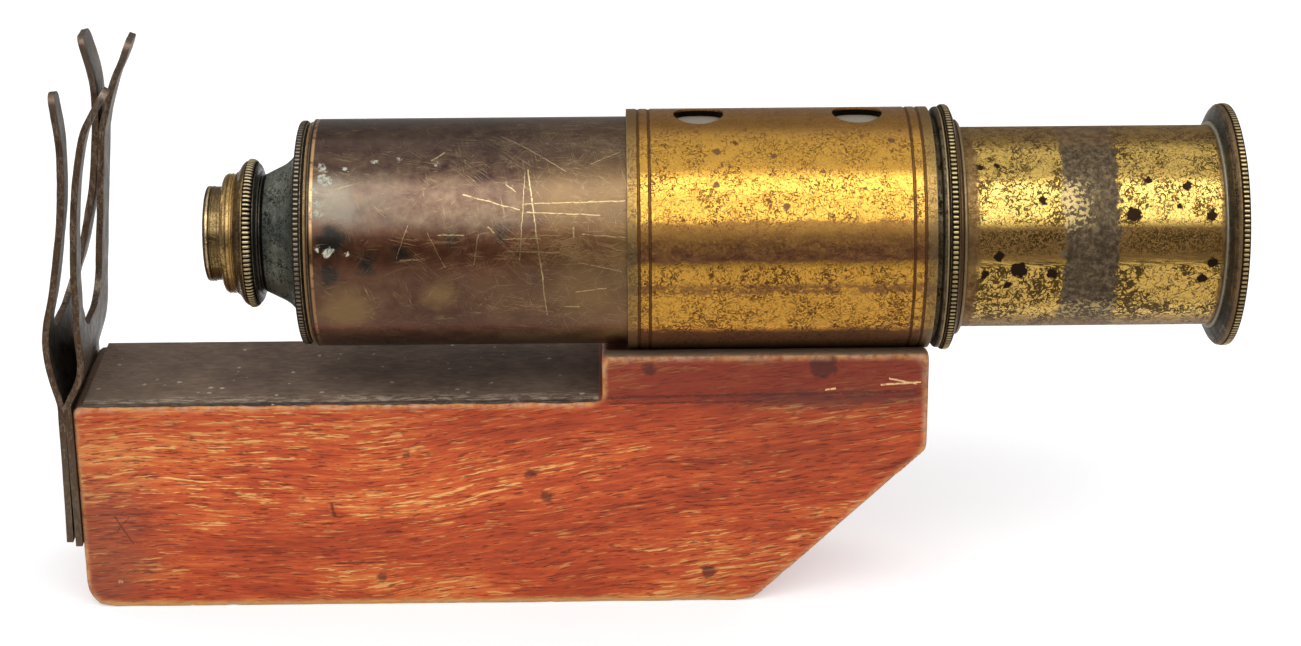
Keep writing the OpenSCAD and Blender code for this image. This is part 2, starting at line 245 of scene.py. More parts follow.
class Graph:
    """Adds nodes to a node tree and links them by value."""

    def __init__(self, tree):
        self.tree = tree

    def put(self, socket, value):
        """Links a socket to a value, or sets it."""
        if isinstance(value, Value):
            self.tree.links.new(value.socket, socket)
        elif socket.type == "RGBA":
            socket.default_value = (*tuple(value)[:3], 1)
        elif socket.type == "VECTOR" and isinstance(value, (int, float)):
            socket.default_value = (value,) * 3
        else:
            socket.default_value = value

    def add(self, kind, inputs=None, output=0, **settings):
        """An output of a new node with those settings, and inputs by name or number."""
        node = self.tree.nodes.new(kind)
        for key, value in settings.items():
            setattr(node, key, value)
        for key, value in (inputs or {}).items():
            self.put(node.inputs[key], value)
        return Value(self, node.outputs[output]) if node.outputs else node

    def math(self, operation, *values, output=0):
        """The result of a math node, for numbers or for vectors."""
        vectors = any(
            isinstance(value, tuple) or isinstance(value, Value) and value.socket.type == "VECTOR"
            for value in values
        )
        kind = "ShaderNodeVectorMath" if vectors else "ShaderNodeMath"
        return self.add(kind, dict(enumerate(values)), output, operation=operation)

    def length(self, vector):
        """The length of a vector."""
        return self.math("LENGTH", vector, output=1)

    def join(self, x=0.0, y=0.0, z=0.0):
        """A vector made of three values."""
        return self.add("ShaderNodeCombineXYZ", {0: x, 1: y, 2: z})

    def split(self, vector):
        """The three values of a vector."""
        first = self.add("ShaderNodeSeparateXYZ", {0: vector})
        return [Value(self, socket) for socket in first.socket.node.outputs]

    def ease(self, value, low, high, start=0.0, end=1.0):
        """A value eased from one range to another."""
        ranges = {"Value": value, "From Min": low, "From Max": high, "To Min": start, "To Max": end}
        return self.add("ShaderNodeMapRange", ranges, interpolation_type="SMOOTHSTEP")

    def fade(self, value, start, end):
        """A mask that falls from one to zero between two limits."""
        return self.ease(value, start, end, 1, 0)

    def between(self, value, start, end, soft):
        """A mask of the values between two limits, with soft ends."""
        rise = self.ease(value, start - soft, start + soft)
        return rise * self.fade(value, end - soft, end + soft)

    def mix(self, factor, first, second):
        """A mix of two colours."""
        return self.add("ShaderNodeMix", {0: factor, 6: first, 7: second}, 2, data_type="RGBA")

    def coats(self, tint, *coats):
        """A colour under coats of other colours, each laid on by its mask."""
        for mask, shade in coats:
            tint = self.mix(mask, tint, shade)
        return tint

    def lerp(self, factor, first, second):
        """A mix of two numbers."""
        return self.add("ShaderNodeMix", {0: factor, 2: first, 3: second}, data_type="FLOAT")

    def ramp(self, value, stops):
        """A colour from a ramp of (place, colour) stops."""
        shade = self.add("ShaderNodeValToRGB", {0: value})
        elements = shade.socket.node.color_ramp.elements
        elements.remove(elements[1])
        for index, (place, tint) in enumerate(stops):
            element = elements.new(place) if index else elements[0]
            element.position = place
            element.color = (*tuple(tint)[:3], 1)
        return shade

    def noise(self, place, detail=2.0, rough=0.5, warp=0.0):
        """A noise between 0 and 1, with features about one unit wide."""
        inputs = {"Vector": place, "Scale": 1, "Detail": detail, "Roughness": rough}
        return self.add("ShaderNodeTexNoise", {**inputs, "Distortion": warp})

    def cloudy(self, place, low, high, start=0.0, end=1.0, detail=2.0, rough=0.5):
        """Soft patches, where a noise passes from one limit to the other."""
        return self.ease(self.noise(place, detail, rough), low, high, start, end)

    def wander(self, place, size, reach):
        """A place pushed about sideways by noise with features of that size."""
        push = self.join(self.noise(place / size, 3, 0.6), self.noise(place / size + 7.3, 3, 0.6))
        return place + (push - (0.5, 0.5, 0)) * reach

    def attribute(self, name):
        """A value stored with the mesh."""
        stored = {"attribute_name": name, "attribute_type": "GEOMETRY"}
        return self.add("ShaderNodeAttribute", output="Fac", **stored)

    def object_place(self):
        """The place on the object, in millimetres."""
        return self.add("ShaderNodeTexCoord", output="Object") * (1 / MM)

    def group(self, make, **inputs):
        """What a shader group gives from its inputs."""
        node = self.tree.nodes.new("ShaderNodeGroup")
        node.node_tree = make()
        for key, value in inputs.items():
            self.put(node.inputs[title(key)], value)
        values = [Value(self, socket) for socket in node.outputs]
        return values if len(values) > 1 else values[0]


SOCKETS = {
    "value": "NodeSocketFloat", "whole": "NodeSocketInt", "vector": "NodeSocketVector",
    "colour": "NodeSocketColor", "shape": "NodeSocketGeometry", "finish": "NodeSocketMaterial",
}


def node_group(kind, name, outputs, **inputs):
    """Turns a function that fills a node group into one that gives the finished group."""
    def wrap(fill):
        """The function that gives the finished group."""
        def make():
            tree = bpy.data.node_groups.get(name)
            if tree:
                return tree
            tree = bpy.data.node_groups.new(name, kind)
            for key, form in inputs.items():
                number = isinstance(form, float)
                socket = tree.interface.new_socket(
                    title(key), in_out="INPUT", socket_type=SOCKETS["value" if number else form]
                )
                if number:
                    socket.default_value = form
            for key, form in outputs.items():
                tree.interface.new_socket(title(key), in_out="OUTPUT", socket_type=SOCKETS[form])
            graph = Graph(tree)
            given = tree.nodes.new("NodeGroupInput").outputs
            result = tree.nodes.new("NodeGroupOutput").inputs
            made = fill(graph, *[Value(graph, given[title(key)]) for key in inputs])
            for key, value in zip(outputs, made if isinstance(made, tuple) else (made,)):
                graph.put(result[title(key)], value)
            return tree
        make.__doc__ = fill.__doc__
        return make
    return wrap


def surface(name):
    """Turns a function that gives the inputs of a surface into one that gives its material."""
    def wrap(fill):
        """The function that gives the finished material."""
        def make():
            made = bpy.data.materials.get(name)
            if made:
                return made
            made = bpy.data.materials.new(name)
            made.use_nodes = True
            made.node_tree.nodes.clear()
            graph = Graph(made.node_tree)
            inputs = fill(graph)
            height, distance = inputs.pop("Height")
            inputs["Normal"] = graph.add("ShaderNodeBump", {"Height": height, "Distance": distance * MM})
            shader = graph.add("ShaderNodeBsdfPrincipled", inputs)
            graph.add("ShaderNodeOutputMaterial", {"Surface": shader})
            return made
        make.__doc__ = fill.__doc__
        return make
    return wrap


# Geometry trees
REFERENCE_RADIUS = 10 * MM


def sweep_round(graph, outline, segments, axis_height):
    """Nodes that turn an outline, drawn in XZ above the axis, into a closed ring shape."""
    x, _, z = graph.split(graph.add("GeometryNodeInputPosition"))
    flat = graph.add(
        "GeometryNodeSetPosition",
        {"Geometry": outline, "Position": graph.join(z - axis_height - REFERENCE_RADIUS, -x)},
    )
    circle = graph.add(
        "GeometryNodeCurvePrimitiveCircle", {"Resolution": segments, "Radius": REFERENCE_RADIUS}
    )
    ring = graph.add("GeometryNodeCurveToMesh", {"Curve": circle, "Profile Curve": flat})
    turn = {"Rotation": (0, math.pi / 2, 0), "Translation": graph.join(z=axis_height)}
    return graph.add("GeometryNodeTransform", {"Geometry": ring, **turn})


def dressed(graph, shape, finish):
    """The last nodes of a geometry tree: joined points, smooth shading and the finish."""
    merged = graph.add("GeometryNodeMergeByDistance", {"Geometry": shape, "Distance": 0.002 * MM})
    smooth = graph.add("GeometryNodeSetShadeSmooth", {"Geometry": merged})
    real = graph.add("GeometryNodeRealizeInstances", {"Geometry": smooth})
    return graph.add("GeometryNodeSetMaterial", {"Geometry": real, "Material": finish})


@node_group(
    "GeometryNodeTree", "Turned piece", {"piece": "shape"}, outline="shape", axis_height=0.0,
    edge_rounding=0.0, segments="whole", waviness=0.0, finish="finish",
)
def turned_tree(graph, outline, axis_height, edge_rounding, segments, waviness, finish):
    """The tree that rounds the corners of an outline and turns it round the tube axis."""
    curve = graph.add("GeometryNodeMeshToCurve", {0: outline})
    rounding = {"Count": 3, "Radius": edge_rounding, "Limit Radius": True}
    rounded = graph.add("GeometryNodeFilletCurve", {"Curve": curve, **rounding}, mode="POLY")
    turned = sweep_round(graph, rounded, segments, axis_height)
    place = graph.add("GeometryNodeInputPosition")
    outward = graph.math("NORMALIZE", (place - graph.join(z=axis_height)) * (0, 1, 1))
    swell = graph.add("ShaderNodeTexNoise", {"Vector": place, "Scale": 45, "Detail": 1})
    offset = outward * ((swell - 0.5) * waviness)
    waved = graph.add("GeometryNodeSetPosition", {"Geometry": turned, "Offset": offset})
    return dressed(graph, waved, finish)


@node_group(
    "GeometryNodeTree", "Milled edge", {"piece": "shape"}, outline="shape", axis_height=0.0,
    ridges="whole", ridge_height=0.0, root_radius=0.0, start=0.0, end=0.0, fade=0.0, finish="finish",
)
def milled_tree(graph, outline, axis_height, ridges, ridge_height, root_radius, start, end, fade,
                finish):
    """The tree that turns an outline and raises straight ridges on its outer face."""
    steps_per_ridge = 8
    curve = graph.add("GeometryNodeMeshToCurve", {0: outline})
    turned = sweep_round(graph, curve, ridges * steps_per_ridge, axis_height)
    x, y, z = graph.split(graph.add("GeometryNodeInputPosition"))
    up = z - axis_height
    ridge = abs(graph.math("SINE", graph.math("ARCTAN2", up, y) * ridges / 2))
    radial = graph.join(0, y, up)
    outside = graph.ease(graph.length(radial), root_radius, root_radius + 0.05 * MM)
    shown = graph.ease(x, start, start + fade) * graph.fade(x, end - fade, end)
    raised = shown * outside * ridge
    marked = graph.add(
        "GeometryNodeStoreNamedAttribute", {"Geometry": turned, "Name": "ridge", "Value": raised},
        data_type="FLOAT", domain="POINT",
    )
    offset = graph.math("NORMALIZE", radial) * (raised * ridge_height)
    cut = graph.add("GeometryNodeSetPosition", {"Geometry": marked, "Offset": offset})
    return dressed(graph, cut, finish)


@node_group(
    "GeometryNodeTree", "Screw row", {"piece": "shape"}, screw="shape", count="whole",
    first_place="vector", spacing="vector", seed="whole", finish="finish",
)
def screw_tree(graph, screw, count, first_place, spacing, seed, finish):
    """The tree that sets one screw at each place of a row, each turned its own way."""
    places = {"Count": count, "Start Location": first_place, "Offset": spacing}
    row = graph.add("GeometryNodeMeshLine", places)
    turn = graph.add("FunctionNodeRandomValue", {2: 0, 3: math.pi, "Seed": seed}, 1, data_type="FLOAT")
    placed = graph.add(
        "GeometryNodeInstanceOnPoints", {"Points": row, "Instance": screw, "Rotation": graph.join(turn)},
    )
    real = graph.add("GeometryNodeRealizeInstances", {"Geometry": placed})
    return dressed(graph, real, finish)


# Meshes and pieces
def new_object(name, data):
    """A new object in the scene."""
    made = bpy.data.objects.new(name, data)
    bpy.context.scene.collection.objects.link(made)
    return made


def mesh_from(work, name):
    """A new mesh from a finished work mesh."""
    mesh = bpy.data.meshes.new(name)
    work.to_mesh(mesh)
    work.free()
    return mesh


def settle(carrier):
    """Turns what an object's modifiers make into its own plain mesh."""
    depsgraph = bpy.context.evaluated_depsgraph_get()
    made = bpy.data.meshes.new_from_object(
        carrier.evaluated_get(depsgraph), preserve_all_data_layers=True, depsgraph=depsgraph
    )
    carrier.modifiers.clear()
    carrier.data = made
    made.name = carrier.name


def modify(piece, kind, **settings):
    """Puts a modifier on a piece and settles its mesh."""
    modifier = piece.modifiers.new(kind.lower(), kind)
    for key, value in settings.items():
        setattr(modifier, key, value)
    settle(piece)


def grow(name, mesh, tree, **inputs):
    """An object whose mesh is the result of a geometry tree, with no modifier left."""
    carrier = new_object(name, mesh)
    modifier = carrier.modifiers.new("shape", "NODES")
    modifier.node_group = tree
    identifiers = {
        item.name: item.identifier for item in tree.interface.items_tree if item.in_out == "INPUT"
    }
    for key, value in inputs.items():
        modifier[identifiers[title(key)]] = value
    settle(carrier)
    return carrier


def outline_mesh(name, points):
    """A closed loop of edges through (place, radius) points, above the tube axis."""
    mesh = bpy.data.meshes.new(name)
    spots = [(place * MM, 0, AXIS_HEIGHT + radius * MM) for place, radius in points]
    count = len(spots)
    lines = [(i, (i + 1) % count) for i in range(count)]
    off_axis = [line for line in lines if any(points[i][1] > 0 for i in line)]
    mesh.from_pydata(spots, off_axis, [])
    return mesh


def supported(points, reach, stride):
    """The outline with points added beside its corners, and along its long lines."""
    result = []
    for (place, radius), (next_place, next_radius) in zip(points, points[1:] + points[:1]):
        result.append((place, radius))
        run = math.hypot(next_place - place, next_radius - radius)
        if run > 4 * reach and radius + next_radius > 0:
            pieces = max(1, round((run - 2 * reach) / stride))
            for i in range(pieces + 1):
                share = reach / run + (1 - 2 * reach / run) * i / pieces
                result.append((
                    place + share * (next_place - place), radius + share * (next_radius - radius)
                ))
    return result


def face_outwards(mesh):
    """Turns the faces of a closed mesh outwards."""
    work = bmesh.new()
    work.from_mesh(mesh)
    if work.calc_volume(signed=True) < 0:
        bmesh.ops.reverse_faces(work, faces=work.faces)
        work.to_mesh(mesh)
    work.free()


def mark_edges(mesh, passes=2):
    """Stores how sharp each point stands out, or is hollow below zero, as "edge"."""
    count = len(mesh.vertices)
    place = np.empty((count, 3))
    mesh.vertices.foreach_get("co", place.ravel())
    normal = np.empty((count, 3))
    mesh.vertex_normals.foreach_get("vector", normal.ravel())
    pairs = np.empty((len(mesh.edges), 2), dtype=int)
    mesh.edges.foreach_get("vertices", pairs.ravel())
    first, second = pairs.T
    step = place[second] - place[first]
    step /= np.maximum(np.linalg.norm(step, axis=1), 1e-9)[:, None]
    total = np.zeros(count)
    np.add.at(total, first, -(normal[first] * step).sum(axis=1))
    np.add.at(total, second, (normal[second] * step).sum(axis=1))
    neighbours = np.maximum(np.bincount(pairs.ravel(), minlength=count), 1)
    edge = total / neighbours
    for _ in range(passes):
        around = np.zeros(count)
        np.add.at(around, first, edge[second])
        np.add.at(around, second, edge[first])
        edge = 0.5 * edge + 0.5 * around / neighbours
    attribute = mesh.attributes.new("edge", "FLOAT", "POINT")
    attribute.data.foreach_set("value", edge.astype(np.float32))


def add_piece(piece, body, slot, *nodes):
    """Sets a finished piece on its body in place of the CAD nodes that it stands for."""
    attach(piece, body)
    if nodes:
        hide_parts(*nodes)


def turned_piece(name, points, finish, role, rounding=0.08, segments=192, waviness=0, stride=6):
    """A turned piece from its outline, with marked edges, set in its role if it has one."""
    piece = grow(
        name, outline_mesh(name, supported(points, 2 * rounding, stride)), turned_tree(),
        axis_height=AXIS_HEIGHT, edge_rounding=rounding * MM, segments=segments,
        waviness=waviness * MM, finish=finish,
    )
    face_outwards(piece.data)
    mark_edges(piece.data)
    if role:
        add_piece(piece, *role)
    return piece


def milled_piece(name, points, pitch, height, root, finish, role, fade):
    """A band of straight milled ridges on an outline, with its pitch and height in metres."""
    places = [place for place, _ in points]
    top = max(radius for _, radius in points)
    piece = grow(
        name, outline_mesh(name, points), milled_tree(), axis_height=AXIS_HEIGHT,
        ridges=2 * round(math.pi * top * MM / pitch), ridge_height=height, root_radius=root * MM,
        start=min(places) * MM, end=max(places) * MM, fade=fade * MM, finish=finish,
    )
    face_outwards(piece.data)
    add_piece(piece, *role)


def crest_band(start, end, root, depth, steps=4):
    """Outline of a flat milled band that stands on a rim, with its lower corners sunk in."""
    top = [(start + 0.08 + (end - start - 0.16) * i / steps, root) for i in range(steps + 1)]
    return [(start, root - depth), (start, root - 0.2), *top, (end, root - 0.2), (end, root - depth)]


def mesh_object(name, mesh, finish):
    """A new object with that mesh and finish."""
    mesh.name = name
    mesh.materials.clear()
    mesh.materials.append(finish)
    return new_object(name, mesh)


def cut_away(piece, cutter):
    """Cuts one object's shape out of another and deletes the cutter."""
    modify(piece, "BOOLEAN", operation="DIFFERENCE", solver="EXACT", object=cutter)
    bpy.data.objects.remove(cutter)


def cone_cutter(place, axis, radius, end_radius, depth, segments=64):
    """A closed cone or cylinder that starts at a place and runs along an axis."""
    work = bmesh.new()
    bmesh.ops.create_cone(
        work, cap_ends=True, segments=segments, radius1=radius, radius2=end_radius, depth=depth
    )
    turn = Vector(axis).to_track_quat("Z", "Y").to_matrix().to_4x4()
    shift = Matrix.Translation(Vector(place)) @ turn @ Matrix.Translation((0, 0, depth / 2))
    bmesh.ops.transform(work, matrix=shift, verts=work.verts)
    return new_object("cutter", mesh_from(work, "cutter"))


# Shader groups
@node_group(
    "ShaderNodeTree", "Tube place",
    {"place": "vector", "along": "value", "around": "value", "unrolled": "vector", "out": "value"},
    radius=20.0,
)
def tube_place(graph, radius):
    """Places on a tube: from its axis, along it, in degrees round it and unrolled flat."""
    x, y, z = graph.split(graph.object_place())
    up = z - AXIS_HEIGHT / MM
    around = graph.math("ARCTAN2", up, -y)
    degrees = graph.math("DEGREES", around)
    unrolled = graph.join(x, around * radius)
    return graph.join(x, y, up), x, degrees, unrolled, graph.length(graph.join(0, y, up))


@node_group(
    "ShaderNodeTree", "Tarnish spots", {"mask": "value"}, place="vector", spacing=2.0, cover=0.4,
    raggedness=0.5,
)
def tarnish_spots(graph, place, spacing, cover, raggedness):
    """Ragged round spots of mixed size."""
    pushed = place + graph.noise(place * 2.2) * raggedness
    cell = graph.add("ShaderNodeTexVoronoi", {"Vector": pushed / spacing, "Scale": 1})
    away, shade = [Value(graph, socket) for socket in cell.socket.node.outputs[:2]]
    chance = graph.split(shade)[0]
    size = graph.math("POWER", chance, 3) * cover
    return graph.fade(away, size - 0.05, size + 0.05) * graph.ease(size, 0.02, 0.08)


@node_group("ShaderNodeTree", "Worm marks", {"mask": "value"}, place="vector", size=0.7, cover=0.5)
def worm_marks(graph, place, size, cover):
    """A dense net of winding lines and specks, where tarnish has broken the lacquer."""
    place = place / size
    wide = graph.noise(place, 3, 0.6, 0.6)
    fine = graph.noise(place * 1.7 + 5, 2, 0.5, 0.4)
    patch = graph.ease(graph.noise(place * 0.23, 3, 0.6), 0.36, 0.62, 0.3, 1.35)
    width = cover * patch * 0.085 - 0.009
    lines = graph.fade(abs(wide - 0.5) - width, 0, 0.018)
    cracks = graph.fade(abs(fine - 0.5) - width * 0.5, 0, 0.016)
    specks = graph.ease(fine + width, 0.7, 0.74)
    return (lines | cracks * 0.85) | specks


@node_group("ShaderNodeTree", "Fine scratches", {"mask": "value"}, place="vector", cover=0.2)
def fine_scratches(graph, place, cover):
    """Short hairlines in mixed directions, thin as a hair."""
    total = 0
    for index, turn in enumerate((0, 0.25, 0.7, 1.35, 2.2, 2.85)):
        turned = graph.add(
            "ShaderNodeVectorRotate", {"Vector": place, "Angle": turn, "Center": (0, 0, 0)},
            rotation_type="Z_AXIS",
        ) + 3.7 * index
        line = graph.noise(turned * (0.09, 1.9 + 0.3 * index, 0.7), 1, 0.5, 0.1)
        patch = graph.noise(turned * (0.16, 0.35, 0.35), 2)
        mask = graph.fade(abs(line - 0.5), 0, 0.018)
        mask = mask * graph.ease(patch, 0.72 - cover, 0.88 - cover)
        total = mask | total
    return total


@node_group("ShaderNodeTree", "Worn edges", {"wear": "value", "grime": "value"}, place="vector", reach=0.14)
def worn_edges(graph, place, reach):
    """Wear on edges that stand out, and grime in hollow ones, from the edge attribute."""
    edge = graph.attribute("edge")
    uneven = graph.ease(graph.noise(place * 0.9, 3, 0.6), 0.25, 0.65, 0.25, 1)
    return graph.ease(edge, 0.02, reach) * uneven, graph.ease(-edge, 0.01, reach)


@node_group(
    "ShaderNodeTree", "Aged brass",
    {"tint": "colour", "roughness": "value", "film": "value", "height": "value"},
    place="vector", clean="colour", tarnish="colour", dark="colour", bright="colour",
    tarnish_cover=0.5, mark_size=0.7, mark_cover=0.5, spot_cover=0.3,
)
def aged_brass(graph, place, clean, tarnish, dark, bright, tarnish_cover, mark_size, mark_cover,
               spot_cover):
    """Old brass: clouds of tarnish, worm marks, spots, worn edges and grime."""
    both = graph.lerp(0.4, graph.noise(place * 0.07, 4, 0.6), graph.noise(place * 0.45, 3, 0.6))
    start = 0.72 - tarnish_cover * 0.5
    clouds = graph.ease(both, start, start + 0.2)
    worms = graph.group(worm_marks, place=place, size=mark_size, cover=mark_cover)
    spots = graph.group(tarnish_spots, place=place, spacing=4.2, cover=spot_cover, raggedness=1.6)
    marks = (worms * 0.93) | (spots * 0.93)
    tint = graph.mix(marks, graph.mix(clouds, clean, tarnish), dark)
    wear, grime = graph.group(worn_edges, place=place)
    tint = graph.mix(grime * 0.85, graph.mix(wear, tint, bright), dark)
    film = (clouds * 0.5) | marks | grime
    smear = graph.noise(place * (0.05, 0.3, 0.3), 3)
    rough = graph.lerp(film, graph.ease(smear, 0.3, 0.7, 0.12, 0.22), 0.5)
    height = graph.noise(place * 1.3, 3, 0.55) * 0.5 - marks * 0.6
    return tint, rough, film, height


def nearest(graph, place, marks, soft=0.05):
    """The mask of a list of (start, end, width) scratches or spots, in millimetres."""
    total = 9
    for start, end, width in marks:
        run = Vector(end) - Vector(start)
        middle = (Vector(start) + Vector(end)) / 2
        if run.length:
            way = (run / run.length).to_3d()
            across = graph.math("DOT_PRODUCT", place, (way.y, -way.x, 0), output=1)
            along = graph.math("DOT_PRODUCT", place, tuple(way), output=1)
            across = abs(across - middle.to_3d().dot(Vector((way.y, -way.x, 0))))
            away = across | (abs(along - middle.to_3d().dot(way)) - run.length / 2)
        else:
            away = graph.length(place - (*start, 0))
        total = graph.math("MINIMUM", away - width / 2, total)
    return graph.fade(total, -soft, soft)


def scratched(graph, place, marks):
    """The mask of a list of (start, end, width) scratches, broken and a little bent."""
    lines = nearest(graph, graph.wander(place, 1.6, 0.5), marks)
    return lines * graph.ease(graph.noise(place * 1.6, 2, 0.6), 0.33, 0.52, 0.25, 1)


def spotted(graph, place, spots, soft=0.14, reach=1.6):
    """The mask of a list of (place, width) spots with ragged rims, in millimetres."""
    marks = [(spot, spot, 0.75 * width) for spot, width in spots]
    return nearest(graph, graph.wander(place, 0.6 * reach, reach), marks, soft)


# Finishes
def brass_settings():
    """The colours of the brass finishes."""
    return bpy.context.scene.microscope_brass


# Scratches as (start, end, width) and spots as (place, width), in millimetres
BODY_SCRATCHES = [
    ((-18.1, 17), (-15.8, -1.7), 0.19), ((-15.8, -1.7), (-15.3, -9), 0.1),
    ((-18.5, 16.6), (-19, 9), 0.1), ((-19, 9), (-19.5, 1.7), 0.12),
    ((-18.9, 11), (-2.5, 11.3), 0.13), ((-18.3, 9.6), (-6.5, 9), 0.15),
    ((-28.5, 12.6), (-19.5, 10), 0.18), ((-22.1, 5.3), (-16.1, 5.3), 0.13),
    ((-21.6, 3.3), (-13, 3), 0.16), ((-32.6, 6), (-28.6, 6), 0.21),
    ((-38.8, 2), (-36.1, 2), 0.21), ((-26.1, 6), (-27, 1), 0.13),
    ((-33.7, 19), (-31.8, 20.6), 0.21), ((-22.5, 24.6), (-11.9, 16.6), 0.1),
    ((-10.5, -4), (-5.6, -3.3), 0.15), ((-12.4, -7), (-10, -7), 0.14),
    ((-9.9, 1.3), (-3.1, -0.3), 0.12), ((-7.8, 18), (-3, 20.6), 0.09),
    ((-9.3, 6), (-2.3, 5.3), 0.13), ((-21.6, 14.3), (-20.1, 13), 0.14),
    ((-10.7, 7), (-10.7, 5.6), 0.24), ((-24.5, 7.2), (-23.6, 6.4), 0.24),
    ((-37.5, 7.6), (-39.5, 2.2), 0.11), ((-34.4, 6.4), (-31.6, 0.6), 0.09),
]
BODY_STAINS = [
    ((-50, 5.4), 6.5), ((-44.5, 1.4), 4.5), ((-50.5, -0.4), 5.5), ((-39, 2.8), 3.5),
    ((-30.5, 5.2), 2.5), ((-22.5, 6.2), 2.5),
]
RUBBED_SPOTS = [((-48, -7.6), 10.5), ((-33, -4.5), 6)]
CORROSION_SPOTS = [
    ((-51.6, 17.6), 2.2), ((-51, 15.2), 2.9), ((-52.6, 11.4), 1.8), ((-51.8, 9.4), 1.4),
    ((-50.6, 3.4), 1.9), ((-52.4, 4.2), 1.5), ((-47.6, 17.4), 1.3), ((-43, 18.6), 1.3),
    ((-39, 19.2), 1), ((-33, 18.2), 1.2), ((-47.5, 2.8), 1.2), ((-52.6, 13.8), 1.6),
]
SLEEVE_SPOTS = [
    ((12.4, 14.2), 1.5), ((23.7, 10.6), 1.6), ((22, 19.5), 1.4), ((12.6, 20.5), 1.6),
    ((41.2, 22.7), 1.5), ((13.4, 18), 1), ((17.3, 25.8), 0.8), ((30, 16.5), 0.9),
    ((36.5, 13.4), 0.8), ((7, 11.5), 0.7), ((42.5, 8.7), 0.9),
]
DRAW_TUBE_SPOTS = [
    ((61.9, -1.5), 3.8), ((80.5, 7.6), 3.3), ((93.2, 7.3), 2.4), ((92, -3.5), 2.5),
    ((93.6, -0.6), 2.2), ((56.4, -2.3), 1.9), ((58.6, 0.9), 2.3), ((83.1, 13.5), 1.9),
    ((89.4, 12.3), 2.2), ((55.8, 16.1), 1.6), ((58.6, 16.4), 1.1), ((65.7, 10), 1.7),
    ((67.4, -2.3), 2.2), ((71.5, -1.2), 2), ((60.2, -4.4), 1.8), ((88, 8.9), 1.2),
]
# Places along the axis of the screwdriver holes, turned lines and tarnished band
HOLE_PLACES = [place + inset for place, inset in zip(span("sleeve"), (12, -12))]
SLEEVE_LINES = [place + way * inset for inset in (1.9, 3.7) for place, way in zip(span("sleeve"), (1, -1))]
DRAW_TUBE_BAND = 73.7


@surface("specked_gold_lacquer")
def gold_lacquer(graph):
    """Old gold lacquer with winding brown marks, for the sleeve."""
    brass = brass_settings()
    start, end, radius = span("sleeve")
    place, along, around, unrolled, out = graph.group(tube_place, radius=radius)
    ragged = graph.noise(place * (0.35, 0.7, 0.7), 4, 0.65) - 0.5
    turn = around + ragged * 9
    # Painted reflection: band is the dark stripe that the sleeve reflects below its highlight, and it is
    # painted brown.
    band = graph.between(turn, 4, 23, 1.2)
    streak = graph.between(turn, -11.5, -6.5, 1.2) * graph.ease(ragged, -0.12, 0.02)
    # Painted shade: under darkens the sleeve where it goes down into the block, and over darkens its top.
    under = graph.ease(turn, -32, -38)
    over = graph.ease(turn, 58, 76)
    tint, rough, _, height = graph.group(
        aged_brass, place=place, clean=brass.gold, tarnish=(0.72, 0.36, 0.06),
        dark=(0.135, 0.052, 0.018), bright=brass.bright, tarnish_cover=0.42, mark_size=0.95,
        mark_cover=0.27 - (band | over) * 0.12 + graph.ease(turn, 4, 0) * 0.1, spot_cover=0.16,
    )
    # This mask lays the brown on the painted shade of band and over, and on the tarnished streak.
    tarnish_and_painted_shade = (over * 0.52) | (band * graph.ease(turn, 20, 5, 0.58, 0.97)) | (streak * 0.75)
    brown = graph.mix(graph.ease(ragged, -0.12, 0.12), (0.19, 0.075, 0.045), brass.film)
    spots = spotted(graph, unrolled, SLEEVE_SPOTS)
    rim = along + ragged * 2
    ends = graph.fade(rim, start + 1.2, start + 2.2) | graph.ease(rim, end - 2.4, end - 1.2)
    lines = 0
    for line in SLEEVE_LINES:
        lines = graph.fade(abs(along + ragged * 0.5 - line), 0.18, 0.36) | lines
    tint = graph.coats(
        tint, (tarnish_and_painted_shade, brown), (under * 0.85, (0.095, 0.05, 0.036)), (spots * 0.9, (0.2, 0.1, 0.055)),
        (ends * 0.6, (0.24, 0.185, 0.095)), (lines * 0.85, (0.13, 0.055, 0.022)),
        # Painted shade: the walls of the screwdriver holes and the end faces, below the outer surface, are
        # painted near black.
        (graph.fade(out, radius - 0.4, radius - 0.22), (0.012, 0.009, 0.006)),
    )
    film = (tarnish_and_painted_shade * 0.6) | (under * 0.7) | spots | (ends * 0.7) | lines
    return {
        "Base Color": tint, "Metallic": 1, "Roughness": graph.lerp(film, rough, 0.45),
        "Height": (height, 0.03),
    }


